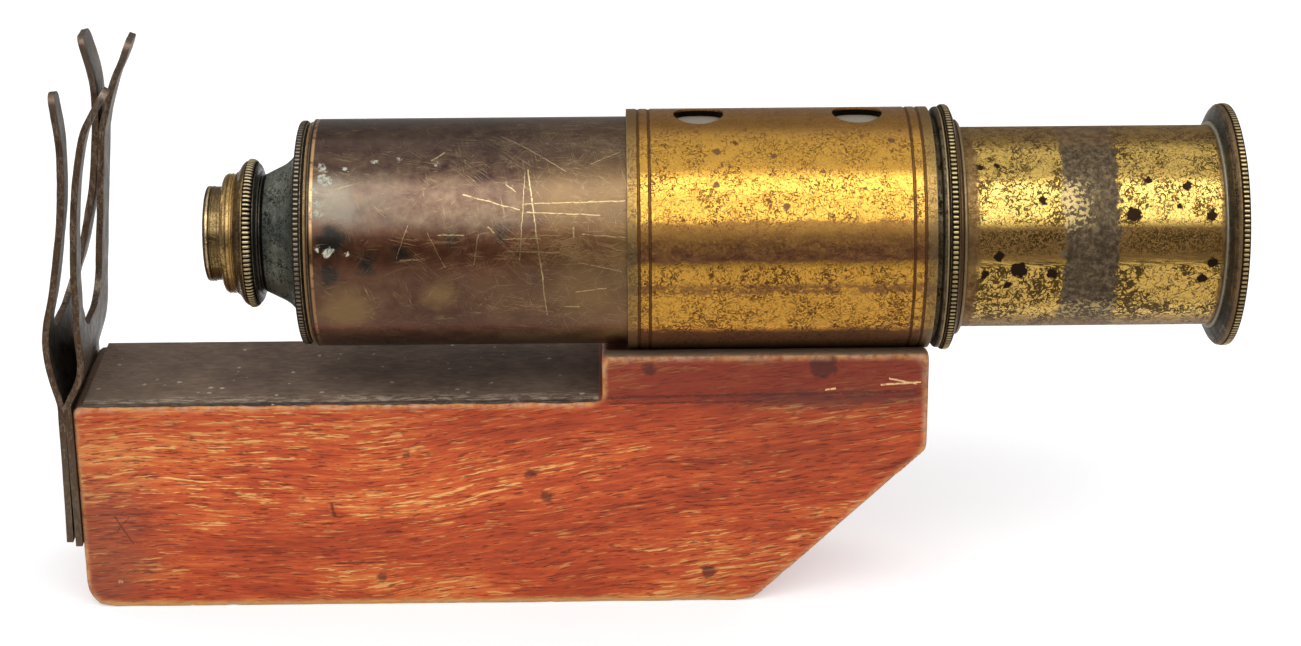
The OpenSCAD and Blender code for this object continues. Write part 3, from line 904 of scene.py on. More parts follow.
@surface("spotted_gold_lacquer")
def spotted_lacquer(graph):
    """Pale gold lacquer with black spots and a tarnished band, for the draw tube."""
    brass = brass_settings()
    _, end, radius = span("draw_tube")
    front = span("collar")[1]
    place, along, around, unrolled, _ = graph.group(tube_place, radius=radius)
    ragged = graph.noise(place * 0.55, 4, 0.65) - 0.5
    away = abs(along - DRAW_TUBE_BAND + ragged * 4)
    band = graph.fade(away, 4.2, 5)
    low = graph.ease(around, 4, -4)
    # Painted shade: shade is the dark stripe that the tube reflects below its highlight, painted brown.
    shade = graph.between(around + ragged * 4, 0, 19.5, 1.5)
    tint, rough, _, height = graph.group(
        aged_brass, place=place, clean=brass.pale_gold, tarnish=(0.8, 0.5, 0.115),
        dark=(0.06, 0.034, 0.012), bright=brass.bright, tarnish_cover=0.34, mark_size=low * 0.35 + 1.05,
        mark_cover=graph.fade(away, 4.6, 10.6) * 0.12 + low * 0.1 - shade * 0.25 + 0.42, spot_cover=0.22,
    )
    spots = spotted(graph, unrolled, DRAW_TUBE_SPOTS)
    dull = graph.ramp(graph.noise(place * 1.1, 5, 0.72), [
        (0.4, (0.055, 0.036, 0.022)), (0.5, (0.1, 0.07, 0.042)), (0.62, (0.2, 0.15, 0.082)),
    ])
    # Painted glints: the bare flakes of the tarnished band are shown only where the tube shows its
    # highlight and, more weakly, low down where it reflects the floor.
    middle = graph.between(around, 17, 46, 7) * graph.ease(along + ragged * 6, 77, 69)
    bare = middle | graph.ease(around + ragged * 8, -22, -32) * 0.6
    flakes = graph.ease(graph.noise(place * 1.5 + 4, 4, 0.6) + bare * 0.16, 0.6, 0.64)
    rim = along + ragged * 1.6
    ends = graph.fade(rim, front + 1.4, front + 2.3) | graph.ease(rim, end - 0.1, end + 0.5)
    turn = around + ragged * 12
    # Painted shade on the top and underside of the tube, with real tarnish at its ends.
    tarnish_and_painted_shade = (ends * 0.86) | ((graph.ease(turn, 64, 80) | graph.ease(turn, -38, -50)) * 0.68)
    brown = graph.mix(graph.ease(ragged, -0.1, 0.1), (0.17, 0.085, 0.036), (0.28, 0.17, 0.075))
    tint = graph.coats(
        tint, (shade * 0.8, (0.31, 0.165, 0.06)), (spots, (0.036, 0.02, 0.012)),
        (band * 0.96, graph.mix(flakes * bare, dull, (0.8, 0.6, 0.25))), (tarnish_and_painted_shade, brown),
    )
    return {
        "Base Color": tint, "Metallic": graph.lerp(band, 1, 0.7),
        "Roughness": graph.lerp(spots | band | tarnish_and_painted_shade, rough, 0.5), "Height": (height, 0.04),
    }


@surface("rubbed_bronze")
def bronzed_brass(graph):
    """Dark bronze, rubbed to gold near the sleeve and scratched, for the body tube."""
    brass = brass_settings()
    start, _, radius = span("body_tube")
    place, along, around, unrolled, _ = graph.group(tube_place, radius=radius)
    cloud = graph.noise(place * (0.05, 0.09, 0.09), 4, 0.6)
    mottle = graph.noise(place * 0.42, 5, 0.68)
    tint = graph.ramp(graph.lerp(0.5, cloud, mottle), [
        (0.39, (0.058, 0.026, 0.021)), (0.47, brass.bronze), (0.55, (0.185, 0.108, 0.066)),
        (0.64, (0.27, 0.18, 0.108)),
    ])
    below = graph.ease(around + (mottle - 0.5) * 20, 24, 12)
    rub = along + (graph.noise(place * 0.11, 3) - 0.5) * 34
    gold = graph.ease(rub, -26, 2) * graph.ease(around, 62, 40, 0.45, 1)
    fade = graph.ease(along, start + 20, start + 2) * graph.between(around, 18, 50, 6)
    grey = graph.cloudy(place * 0.16, 0.36, 0.6, 0.35, 1, 4, 0.6)
    # Painted light: this lifts the dark stripe that the tube reflects below its highlight to a brighter
    # red-brown.
    painted_band_light = graph.between(around + (cloud - 0.5) * 30, 0, 21, 7)
    stain = spotted(graph, unrolled, BODY_STAINS, 1.3, 4)
    crust_and_painted_sheen = spotted(graph, unrolled, CORROSION_SPOTS, 0.2, 2.8)
    crust_and_painted_sheen = crust_and_painted_sheen * graph.cloudy(place * 1.5, 0.42, 0.58, detail=4, rough=0.7)
    hair = graph.group(
        fine_scratches, place=unrolled, cover=graph.lerp(graph.ease(along, -46, -8), 0.17, 0.3)
    )
    cuts = scratched(graph, unrolled, BODY_SCRATCHES)
    tint = graph.coats(
        tint, (below * 0.5, (0.165, 0.07, 0.034)),
        (gold * 0.9, graph.mix(mottle, brass.rubbed, (0.27, 0.16, 0.06))),
        (grey * fade * 0.8, (0.255, 0.225, 0.165)),
        (spotted(graph, unrolled, RUBBED_SPOTS, 2, 4) * 0.7, (0.34, 0.215, 0.085)),
        (painted_band_light * 0.42, graph.mix(gold, (0.3, 0.095, 0.04), (0.42, 0.225, 0.08))),
        # Painted shade darkens the top of the tube.
        (graph.ease(around, 42, 62) * 0.4, (0.09, 0.048, 0.036)),
        (stain * 0.95, graph.mix(mottle, (0.03, 0.04, 0.036), (0.06, 0.038, 0.03))),
        (crust_and_painted_sheen, (0.5, 0.52, 0.42)), (hair * 0.45, (0.62, 0.44, 0.22)), (cuts * 0.7, (0.9, 0.7, 0.34)),
    )
    x, y, z = graph.split(place)
    # Painted reflection: under each screwdriver hole the top of the tube is painted pale and matte, in
    # place of the bright room that it reflects. The mask named dust holds this painted reflection, and it
    # joins the crust mask.
    for middle in HOLE_PLACES:
        hole = graph.length(graph.join(x - middle, y)) + mottle * 0.8
        dust = graph.fade(hole, 4, 4.7) * graph.ease(z, 10, 12)
        crust_and_painted_sheen = dust | crust_and_painted_sheen
        tint = graph.mix(dust * 0.9, tint, (0.25, 0.22, 0.17))
    ring = graph.between(along, start + 0.7, start + 1.15, 0.12) * graph.ease(around, -12, 6, 0.4, 1)
    ring = ring * graph.cloudy(place * 0.8, 0.34, 0.5, 0.1, 1, 3)
    gap = graph.between(along, start + 0.25, start + 0.65, 0.1)
    wear, _ = graph.group(worn_edges, place=place)
    tint = graph.coats(tint, (gap, brass.grime), (ring, (0.8, 0.47, 0.2)), (wear, brass.bright))
    rough = graph.ease(mottle, 0.3, 0.7, 0.26, 0.36) + graph.ease(along, -40, 0, 0, 0.08)
    rough = graph.lerp(crust_and_painted_sheen, graph.lerp(cuts | wear | ring, rough, 0.28), 0.8)
    return {
        "Base Color": tint, "Metallic": graph.lerp(crust_and_painted_sheen, 1, 0.1), "Roughness": rough,
        "Coat Weight": 0.5, "Coat Roughness": 0.22,
        "Height": (crust_and_painted_sheen * 0.6 - (cuts | hair) * 0.5 + mottle * 0.5, 0.02),
    }


# Places of turned pieces along the axis, in millimetres
COLLAR, COLLAR_END = span("collar")[:2]
NOSE = span("nose_cap")[0]
TIP = span("front_cell")[0]
CELL = span("objective_cell")[0]
TUBE_FRONT = span("body_tube")[0]
TUBE_END = span("draw_tube")[1]
# Colours that are only a name are settings of the brass finishes
PLAIN_FINISHES = {
    "collar_brass": dict(
        colours=((0.2, 0.155, 0.09), (0.115, 0.095, 0.062), "grime", "bright"), cover=0.6, rougher=0.2,
        strips=[
            (COLLAR + 1.62, COLLAR + 1.84, (0.62, 0.46, 0.24), 0.8),
            (COLLAR + 1.9, COLLAR + 2.15, "grime", 0.9),
            (COLLAR + 3.5, COLLAR + 4.5, (0.14, 0.08, 0.042), 0.8),
            (COLLAR_END - 0.6, COLLAR_END - 0.15, (0.42, 0.3, 0.16), 0.7),
        ],
    ),
    "flange_brass": dict(
        colours=((0.31, 0.225, 0.13), (0.115, 0.105, 0.078), "grime", "dull"), cover=0.62, rougher=0.2,
        strips=[
            (TUBE_END + 0.75, TUBE_END + 1.15, (0.48, 0.47, 0.36), 0.75),
            (TUBE_END + 1.3, TUBE_END + 1.8, (0.05, 0.05, 0.04), 0.7),
            (TUBE_END + 2.3, TUBE_END + 3.2, (0.3, 0.185, 0.08), 0.55),
        ],
    ),
    "green_bronze": dict(
        colours=((0.275, 0.285, 0.235), (0.13, 0.14, 0.118), (0.03, 0.034, 0.028), "bright"),
        cover=0.6, rougher=0.26, strength=0.06, mark_size=0.85,
        strips=[
            (NOSE - 0.5, NOSE + 0.45, (0.012, 0.012, 0.011), 1),
            (TUBE_FRONT - 0.85, TUBE_FRONT - 0.42, "grime", 0.95),
            (TUBE_FRONT - 0.36, TUBE_FRONT + 0.1, (0.4, 0.25, 0.13), 0.85),
        ],
    ),
    "objective_brass": dict(
        colours=((0.58, 0.38, 0.14), (0.16, 0.095, 0.04), "grime", "bright"), cover=0.52, rougher=0.02,
        mark_size=1.1, strips=[
            (TIP - 0.5, TIP + 0.45, (0.07, 0.05, 0.03), 0.85),
            (TIP + 0.55, TIP + 0.78, (0.8, 0.68, 0.46), 0.8),
            (TIP + 0.85, TIP + 1.25, (0.055, 0.038, 0.022), 0.8),
            (TIP + 1.3, CELL - 0.15, (0.21, 0.155, 0.075), 0.6),
            # Painted highlight: a bright gold strip where the cell meets the mount.
            (CELL + 1.6, CELL + 1.95, (0.9, 0.62, 0.24), 0.6),
        ],
    ),
    "mount_brass": dict(
        colours=((0.34, 0.21, 0.08), (0.12, 0.075, 0.035), "grime", "bright"), cover=0.55, rougher=0.06,
        mark_size=1.1, strips=[
            (NOSE - 1.15, NOSE + 5, (0.075, 0.07, 0.06), 0.95),
            (NOSE - 0.62, NOSE - 0.5, (0.3, 0.28, 0.25), 0.7),
        ],
    ),
    "black_brass": dict(
        colours=((0.032, 0.03, 0.028), (0.02, 0.019, 0.018), (0.012, 0.012, 0.012), (0.2, 0.13, 0.06)),
        cover=0.4, rougher=0.25,
    ),
    "inner_brass": dict(colours=("dull", "film", "grime", "bright"), cover=0.4, rougher=0.1),
    "ring_brass": dict(colours=((0.62, 0.38, 0.13), "film", "grime", "bright"), cover=0.4),
    "screw_metal": dict(
        colours=((0.33, 0.3, 0.27), (0.16, 0.11, 0.075), (0.05, 0.035, 0.025), (0.62, 0.58, 0.52)),
        cover=0.45, rougher=0.1,
    ),
}


def plain_metal(name):
    """A finish of the table: turned metal without lacquer, with strips of other colours."""
    def shade(paint):
        """A colour of the table, or of the settings where the table holds its name."""
        return getattr(brass_settings(), paint) if isinstance(paint, str) else paint

    @surface(name)
    def fill(graph):
        """Plain old metal."""
        look = {"rougher": 0, "strength": 0.03, "mark_size": 0.7, "strips": (), **PLAIN_FINISHES[name]}
        clean, tarnish, dark, bright = map(shade, look["colours"])
        place, along, _, _, out = graph.group(tube_place)
        tint, rough, _, height = graph.group(
            aged_brass, place=place, clean=clean, tarnish=tarnish, dark=dark, bright=bright,
            tarnish_cover=look["cover"], mark_size=look["mark_size"],
            mark_cover=0.12 + 0.3 * look["cover"], spot_cover=0.2,
        )
        rings = graph.noise(graph.join(along, out) * 5)
        uneven = graph.noise(place * 0.8, 4, 0.65) - 0.5
        strips = [
            (graph.between(along + uneven * 0.25, start, end, 0.1) * cover, shade(paint))
            for start, end, paint, cover in look["strips"]
        ]
        tint = graph.coats(tint, (graph.ease(rings, 0.48, 0.68) * 0.4, dark), *strips)
        return {
            "Base Color": tint, "Metallic": 1, "Roughness": rough + look["rougher"],
            "Height": (height + rings * 0.5, look["strength"]),
        }
    return fill()


def milled_brass(name, ridge_colour, root_colour):
    """Milled edge: pale along the ridges and black with grime between them."""
    @surface(name)
    def fill(graph):
        """Ridges worn pale and grimy roots."""
        place = graph.group(tube_place)[0]
        ridge = graph.attribute("ridge")
        patch = graph.noise(place * 0.35, 4, 0.6)
        worn = tuple(0.5 * a + 0.5 * b for a, b in zip(ridge_colour, root_colour))
        top = graph.mix(graph.ease(patch, 0.42, 0.66), ridge_colour, worn)
        shown = graph.ease(ridge + (patch - 0.5) * 0.5, 0.5, 0.88)
        return {
            "Base Color": graph.mix(shown, root_colour, top), "Metallic": 1,
            "Roughness": graph.ease(shown, 0, 1, 0.6, 0.34), "Height": (graph.noise(place * 3, 3), 0.02),
        }
    return fill()


@surface("hammered_brass")
def spring_brass(graph):
    """Blackened and hammered spring brass with worn edges and pale marks, for the leaves."""
    leaf = bpy.context.scene.microscope_leaf
    place = graph.object_place()
    height = graph.split(place)[2]
    mottle = graph.noise(place * 0.28, 5, 0.65)
    drawn = graph.noise(place * (1.4, 1.4, 0.12), 3, 0.6)
    tint = graph.ramp(graph.lerp(0.5, mottle, drawn), [
        (0.32, (0.032, 0.028, 0.027)), (0.48, leaf.metal), (0.62, (0.13, 0.1, 0.075)),
        (0.76, (0.21, 0.15, 0.09)),
    ])
    wear, _ = graph.group(worn_edges, place=place, reach=0.2)
    rust = graph.cloudy(place * (0.5, 0.5, 0.1), 0.42, 0.6, detail=3)
    glint = graph.cloudy(place * (1, 1, 0.22) + 3, 0.6, 0.68, detail=4, rough=0.7)
    marks = graph.group(worm_marks, place=place * (1, 1, 0.4), size=1.6, cover=0.26)
    tip = height + (graph.noise(place * 0.4, 3) - 0.5) * 14
    tint = graph.coats(
        tint, (wear, graph.mix(rust, leaf.edge, (0.19, 0.082, 0.036))),
        (wear * glint, (0.62, 0.55, 0.46)), (marks * 0.55, (0.32, 0.255, 0.185)),
        (graph.ease(tip, 82, 92) * 0.35, (0.24, 0.21, 0.18)),
        (graph.ease(tip, 40, 26) * 0.45, (0.17, 0.135, 0.1)),
    )
    return {
        "Base Color": tint, "Metallic": 0.9, "Roughness": graph.ease(mottle, 0.3, 0.7, 0.34, 0.52),
        "Height": (graph.noise(place * 0.75) + drawn * 0.25, 0.12),
    }


# Pale scars, dark cuts and knots on the front of the block, the same way
WOOD_SCARS = [
    ((40.3, 40.2), (46.6, 40.6), 0.35), ((41.6, 41.3), (46, 40.3), 0.28),
    ((31, 39.4), (32.4, 39.5), 0.33), ((-89.2, 5), (-89, 5), 0.6),
]
WOOD_CUTS = [
    ((-89.2, 17.2), (-86.5, 12.2), 0.26), ((-87, 17), (-89, 14.4), 0.18),
    ((-52.5, 19.2), (-52, 17.1), 0.57), ((-96, 17.5), (-83, 17.7), 0.29),
    ((-5.6, 38.3), (46, 38.9), 0.45), ((-52, 8), (-44, 8.2), 0.29), ((-5, 37.2), (20, 37.4), 0.31),
]
WOOD_KNOTS = [
    ((-18.7, 24.5), 2.4), ((-39.5, 28.3), 2), ((-16.1, 20.2), 2.6), ((1.3, 43.5), 3),
    ((-75.3, 31.6), 1.4), ((30.5, 43.8), 6), ((-44.5, 5.4), 2.4), ((11.5, 5.8), 3.4),
]


@surface("worn_mahogany")
def mahogany(graph):
    """Worn polished wood with red bands, yellow flecks, dark pores, dents and dust."""
    wood = bpy.context.scene.microscope_block
    low, high = [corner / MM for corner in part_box("wood_block")]
    step_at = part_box("recess_lining")[1].x / MM
    place = graph.object_place()
    x, y, z = graph.split(place)
    wave = graph.noise(place * (0.022, 0.03, 0.05)) - 0.5
    rise = graph.ease(x, -84, -40, -0.06, -0.13)
    grain = graph.join(x, y, z + x * rise + wave * 6)
    clouds = graph.noise(grain * (0.02, 0.06, 0.075), 3, 0.55)
    bands = graph.noise(grain * (0.05, 0.35, 0.42), 4, 0.62)
    fibres = graph.noise(grain * (0.16, 1.5, 1.6), 4, 0.7)
    hairs = graph.noise(grain * (0.34, 4, 4.4), 3, 0.62)
    tint = graph.ramp(clouds * 0.34 + bands * 0.22 + fibres * 0.28 + hairs * 0.16, [
        (0.38, wood.dark_wood), (0.445, (0.4, 0.06, 0.018)), (0.495, wood.red_wood),
        (0.545, wood.light_wood), (0.62, (0.84, 0.32, 0.085)),
    ])
    region = graph.ease(clouds, 0.42, 0.6)
    dash = graph.noise(grain * (0.24, 2.7, 2.9) + 2, 2, 0.58)
    fleck = graph.ease(dash + region * 0.06, 0.62, 0.69)
    pores = graph.cloudy(grain * (0.36, 2.9, 3.2) + (7, 3, 5), 0.59, 0.66, rough=0.55)
    right = graph.ease(x, -14, 34) * graph.ease(z, 10, 40, 0.3, 1)
    uneven = graph.cloudy(place * (0.04, 0.1, 0.12), 0.3, 0.7, 0.35, 1, 4)
    stain = graph.fade(graph.length(graph.join((x - 30) * 0.1, z - 37.4))
                       + graph.noise(place * 0.4, 3) * 2.2, 1.6, 3.8)
    side = graph.join(x, z)
    front = graph.ease(y, low.y + 1.4, low.y + 0.4)
    knots = spotted(graph, side, WOOD_KNOTS, 0.4, 2.2) * front
    cuts = scratched(graph, side, WOOD_CUTS) * front
    scars = scratched(graph, side, WOOD_SCARS) * front
    corner = graph.length(graph.join(x + 93, (z - 11) * 0.7)) + graph.noise(place * 0.12, 3) * 12
    base = graph.fade(z + graph.noise(place * (0.25, 1, 1), 4, 0.7) * 2.4, 1.6, 2.9)
    wear, _ = graph.group(worn_edges, place=place, reach=0.13)
    bare = graph.mix(graph.cloudy(place * 0.35, 0.4, 0.6, detail=3), wood.worn_edge, (0.72, 0.36, 0.12))
    ledge = graph.ease(x, step_at - 0.2, step_at - 0.6) * graph.ease(z, 36.3, 37)
    dusty = graph.ease(z, high.z - 0.45, high.z - 0.15)
    dusty = dusty * graph.cloudy(place * 0.5, 0.3, 0.6, 0.7, 0.97, 3)
    tint = graph.coats(
        tint, (fleck * (region * 0.5 + 0.4), wood.fleck), (pores * 0.75, (0.13, 0.02, 0.01)),
        (graph.ease(z + wave * 16, 26, 36) * 0.35, (0.33, 0.042, 0.015)),
        (graph.ease(z, 24, 4) * 0.22, (0.3, 0.04, 0.014)), (right * uneven * 0.5, (0.17, 0.03, 0.015)),
        (graph.ease(z, 36.4, 38.4) * 0.66, (0.16, 0.024, 0.016)),
        (stain * 0.6, (0.07, 0.026, 0.024)), (knots * 0.66, (0.05, 0.018, 0.015)),
        (cuts * 0.8, (0.11, 0.024, 0.014)), (scars, (0.8, 0.5, 0.24)),
        (graph.fade(corner, 8, 24) * 0.5, (0.16, 0.066, 0.042)), (base * 0.65, (0.72, 0.42, 0.13)),
        (wear * 0.8, bare), (ledge * graph.ease(y, low.y + 0.4, low.y + 0.8), wood.lining),
        (dusty, wood.dust),
    )
    rough = graph.lerp(dusty | fleck, graph.ease(fibres, 0.3, 0.7, 0.38, 0.55), 0.7)
    return {
        "Base Color": tint, "Metallic": 0, "Roughness": rough, "Specular IOR Level": 0.22,
        "Height": (fibres * 0.5 + fleck * 0.4 - pores - (cuts | knots), 0.06),
    }


@surface("dusty_lining")
def dark_lining(graph):
    """Blackened lining with dust, rubbed pale along its front edge."""
    wood = bpy.context.scene.microscope_block
    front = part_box("recess_lining")[0].y / MM
    place = graph.object_place()
    x, y, _ = graph.split(place)
    drawn = graph.noise(place * (0.4, 1.1, 1), 5, 0.72)
    tint = graph.ramp(graph.lerp(0.5, drawn, graph.noise(place * 0.09, 4, 0.6)), [
        (0.32, (0.06, 0.04, 0.03)), (0.48, wood.lining), (0.6, (0.21, 0.14, 0.094)),
        (0.74, (0.3, 0.205, 0.135)),
    ])
    reach = y + graph.noise(place * (0.1, 0.5, 1), 4, 0.65) * 6
    flecks = graph.cloudy(place * (0.45, 1.6, 1), 0.47, 0.55, detail=4, rough=0.68)
    crumbs = graph.group(tarnish_spots, place=place, spacing=1.9, cover=0.24, raggedness=0.6)
    tint = graph.coats(
        tint, (graph.ease(reach, front + 7.6, front + 3.4) * flecks * 0.85, (0.46, 0.37, 0.27)),
        (graph.ease(y, front + 1, front + 0.6) * 0.85, (0.026, 0.016, 0.012)),
        (crumbs * 0.8, (0.5, 0.45, 0.36)), (graph.ease(x, -70, -92) * 0.25, (0.16, 0.12, 0.085)),
    )
    return {"Base Color": tint, "Metallic": 0, "Roughness": 0.78, "Height": (drawn + flecks, 0.08)}


@surface("clear_glass")
def lens_glass(graph):
    """Polished clear glass with a faint green tint and a little dust."""
    place = graph.group(tube_place)[0]
    dust = graph.noise(place * 0.8, 4, 0.6)
    return {
        "Base Color": (0.93, 0.98, 0.95), "Metallic": 0, "IOR": 1.52, "Transmission Weight": 1,
        "Roughness": graph.ease(dust, 0.5, 0.75, 0.01, 0.08), "Height": (dust, 0.001),
    }


# Shapes
def wobble(*place):
    """A smooth noise between -1 and 1 at a place."""
    return noise.noise(Vector(place))


def block_outline(settings):
    """The block seen from the side, as (x, z) points in metres."""
    low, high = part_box("wood_block")
    lining_low, lining_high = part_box("recess_lining")
    step_at = lining_high.x
    foot, toe = settings.foot_radius, settings.toe_radius
    slope_top = high.z - settings.upright
    slope_foot = high.x - slope_top / math.tan(settings.slope_angle)
    toe_middle = slope_foot - toe * math.tan(settings.slope_angle / 2)
    slope = math.degrees(settings.slope_angle)
    corner = 0.8 * MM
    return [
        *arc((low.x + foot, foot), foot, 270, 180, 8),
        *arc((low.x + corner, lining_low.z - corner), corner, 180, 90, 4),
        (step_at, lining_low.z), (step_at, high.z), (high.x, high.z), (high.x, slope_top),
        *arc((toe_middle, toe), toe, slope - 90, -90, 8),
    ]


def wear_down(mesh, depth, smoothing=5):
    """Wears the edges of a dense mesh back, more in some places than in others."""
    worn = bmesh.new()
    worn.from_mesh(mesh)
    before = [vert.co.copy() for vert in worn.verts]
    for _ in range(smoothing):
        bmesh.ops.smooth_vert(
            worn, verts=worn.verts, factor=0.5, use_axis_x=True, use_axis_y=True, use_axis_z=True
        )
    for vert, old in zip(worn.verts, before):
        patch = 0.5 + 0.5 * wobble(*(old * 110))
        nick = max(0, wobble(*(old * 420)) - 0.3)
        far = (vert.co - old) * (0.35 + 1.3 * patch * patch + 2.4 * nick)
        if far.length > depth:
            far *= depth / far.length
        vert.co = old + far
    worn.to_mesh(mesh)
    worn.free()


class MICROSCOPE_OT_block(bpy.types.Operator):
    """Build the worn wood block with its saddle for the sleeve"""

    bl_idname = "microscope.block"
    bl_label = "Wood block"

    def execute(self, context):
        settings = context.scene.microscope_block
        low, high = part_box("wood_block")
        work = bmesh.new()
        ring = [work.verts.new((x, low.y, z)) for x, z in block_outline(settings)]
        side = work.faces.new(ring)
        moved = bmesh.ops.extrude_face_region(work, geom=[side])["geom"]
        across = [item for item in moved if isinstance(item, bmesh.types.BMVert)]
        bmesh.ops.translate(work, verts=across, vec=(0, high.y - low.y, 0))
        bmesh.ops.recalc_face_normals(work, faces=work.faces)
        piece = mesh_object("block", mesh_from(work, "block"), mahogany())
        sleeve_low, sleeve_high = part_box("sleeve")
        radius = (sleeve_high.y - sleeve_low.y) / 2 + 0.08 * MM
        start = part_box("recess_lining")[1].x - MM
        cut_away(piece, cone_cutter(
            (start, 0, AXIS_HEIGHT), (1, 0, 0), radius, radius, high.x - start + MM, 192
        ))
        modify(piece, "REMESH", mode="VOXEL", voxel_size=settings.mesh_size)
        wear_down(piece.data, settings.wear_depth)
        piece.data.materials.clear()
        piece.data.materials.append(mahogany())
        piece.data.shade_smooth()
        mark_edges(piece.data, 3)
        add_piece(piece, "base", "mahogany", "wood_block")
        return {"FINISHED"}


class MICROSCOPE_OT_lining(bpy.types.Operator):
    """Lay the thin lining in the recess, with a ragged front edge"""

    bl_idname = "microscope.lining"
    bl_label = "Recess lining"

    def execute(self, context):
        low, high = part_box("recess_lining")
        columns, rows = 160, 24
        work = bmesh.new()
        tops, lows = [], []
        for i in range(columns + 1):
            x = low.x + (high.x - low.x) * i / columns
            ragged = 0.35 + 0.55 * wobble(x * 180, 3, 0)
            ragged += 0.35 * wobble(x * 700, 9, 0)
            front = low.y + max(0.12, ragged) * MM
            back = high.y - 0.2 * MM
            tops.append([])
            lows.append([])
            for j in range(rows + 1):
                y = front + (back - front) * (j / rows) ** 1.3
                lift = 0.05 * MM * wobble(x * 150, y * 150, 0)
                top = high.z - 0.06 * MM + lift
                top -= 0.16 * MM * math.exp(-(y - front) / (0.6 * MM))
                tops[i].append(work.verts.new((x, y, top)))
                lows[i].append(work.verts.new((x, y, low.z)))
        for i in range(columns):
            for j in range(rows):
                for sheet in (tops, lows):
                    work.faces.new((
                        sheet[i][j], sheet[i + 1][j], sheet[i + 1][j + 1], sheet[i][j + 1]
                    ))
            for j in (0, rows):
                work.faces.new((tops[i][j], lows[i][j], lows[i + 1][j], tops[i + 1][j]))
        for j in range(rows):
            for i in (0, columns):
                work.faces.new((tops[i][j], tops[i][j + 1], lows[i][j + 1], lows[i][j]))
        bmesh.ops.recalc_face_normals(work, faces=work.faces)
        piece = mesh_object("lining", mesh_from(work, "lining"), dark_lining())
        piece.data.shade_smooth()
        piece.data.set_sharp_from_angle(angle=math.radians(50))
        add_piece(piece, "base", "dark_lining", "recess_lining")
        return {"FINISHED"}


def round_normals(mesh, radius):
    """Gives the outer face of a tube the true normals of a cylinder, round its cut holes."""
    mesh.shade_smooth()
    mesh.set_sharp_from_angle(angle=math.radians(35))
    normals = [Vector(item.vector) for item in mesh.corner_normals]
    for face in mesh.polygons:
        out = Vector((0, face.center.y, face.center.z - AXIS_HEIGHT))
        if out.length > radius - 0.1 * MM and abs(face.normal.x) < 0.02:
            for index in face.loop_indices:
                place = mesh.vertices[mesh.loops[index].vertex_index].co
                if math.hypot(place.y, place.z - AXIS_HEIGHT) > radius - 0.02 * MM:
                    normals[index] = Vector((0, place.y, place.z - AXIS_HEIGHT)).normalized()
    mesh.normals_split_custom_set(normals)


class MICROSCOPE_OT_sleeve(bpy.types.Operator):
    """Turn the sleeve with its lines, and drill the two screwdriver holes"""

    bl_idname = "microscope.sleeve"
    bl_label = "Sleeve"

    def execute(self, context):
        start, end, radius = span("sleeve")
        inside = span("body_tube")[2] + PLAY
        outline = [(start, inside), (start, radius)]
        for line in sorted(SLEEVE_LINES):
            outline += groove(line, radius, 0.55, 0.16)
        outline += [(end, radius), (end, inside)]
        piece = turned_piece("sleeve_tube", outline, gold_lacquer(), None, 0.12, stride=2.5)
        hole_radius = 4.15 * MM
        top = AXIS_HEIGHT + (radius - 6) * MM
        for place in HOLE_PLACES:
            cut_away(piece, cone_cutter(
                (place * MM, 0, top), (0, 0, 1), hole_radius, hole_radius, 12 * MM, 96
            ))
        round_normals(piece.data, radius * MM)
        add_piece(piece, "base", "lacquered_brass", "sleeve")
        return {"FINISHED"}


class MICROSCOPE_OT_body_tube(bpy.types.Operator):
    """Turn the bronzed body tube"""

    bl_idname = "microscope.body_tube"
    bl_label = "Body tube"

    def execute(self, context):
        start, end, radius = span("body_tube")
        inside = radius - TUBE_WALL
        outline = [
            (start, inside), (start, radius - 0.35), (start + 0.3, radius), (end, radius), (end, inside),
        ]
        turned_piece(
            "body_tube_shell", outline, bronzed_brass(), ("body", "bronzed_brass", "body_tube"),
            waviness=0.03, stride=2.5,
        )
        return {"FINISHED"}


class MICROSCOPE_OT_nose_cap(bpy.types.Operator):
    """Turn the flared nose cap and mill its rim"""

    bl_idname = "microscope.nose_cap"
    bl_label = "Nose cap"

    def execute(self, context):
        settings = context.scene.microscope_milling
        start, end, radius = span("nose_cap")
        spigot = span("body_tube")[2] - TUBE_WALL - PLAY
        wall_at = TUBE_FRONT - 2.2
        bore, neck, cone_angle, cone_length = 6.55, 9.8, 26, 2.9
        slope = math.radians(cone_angle)
        flare = (wall_at - (start + cone_length)) / (1 - math.sin(slope))
        cone_radius = neck + cone_length * math.tan(slope)
        middle = (wall_at - flare, cone_radius + flare * math.cos(slope))
        outline = [
            (start, bore), (start, neck), *arc(middle, flare, cone_angle - 90, 0, 14),
            *stepped(wall_at, radius, (0, -0.35), (1.3, -0.35), (1.4, -0.6), (1.7, -0.6), (1.8, -0.2)),
            (TUBE_FRONT, radius - 0.25), (TUBE_FRONT, spigot), (end, spigot), (end, spigot - 1.6),
            (wall_at + 1.6, spigot - 1.6), (wall_at + 1.6, bore + 3), (start + 4.6, bore),
        ]
        turned_piece(
            "nose_cap_turned", outline, plain_metal("green_bronze"),
            ("body", "green_brass", "nose_cap"), 0.1,
        )
        milled_piece(
            "nose_cap_milling", crest_band(wall_at, wall_at + 1.25, radius - 0.24, 0.9),
            settings.cap_pitch, settings.depth, radius - 0.6,
            milled_brass("cap_milling", (0.34, 0.27, 0.2), (0.045, 0.038, 0.03)),
            ("body", "green_brass"), 0.25,
        )
        return {"FINISHED"}


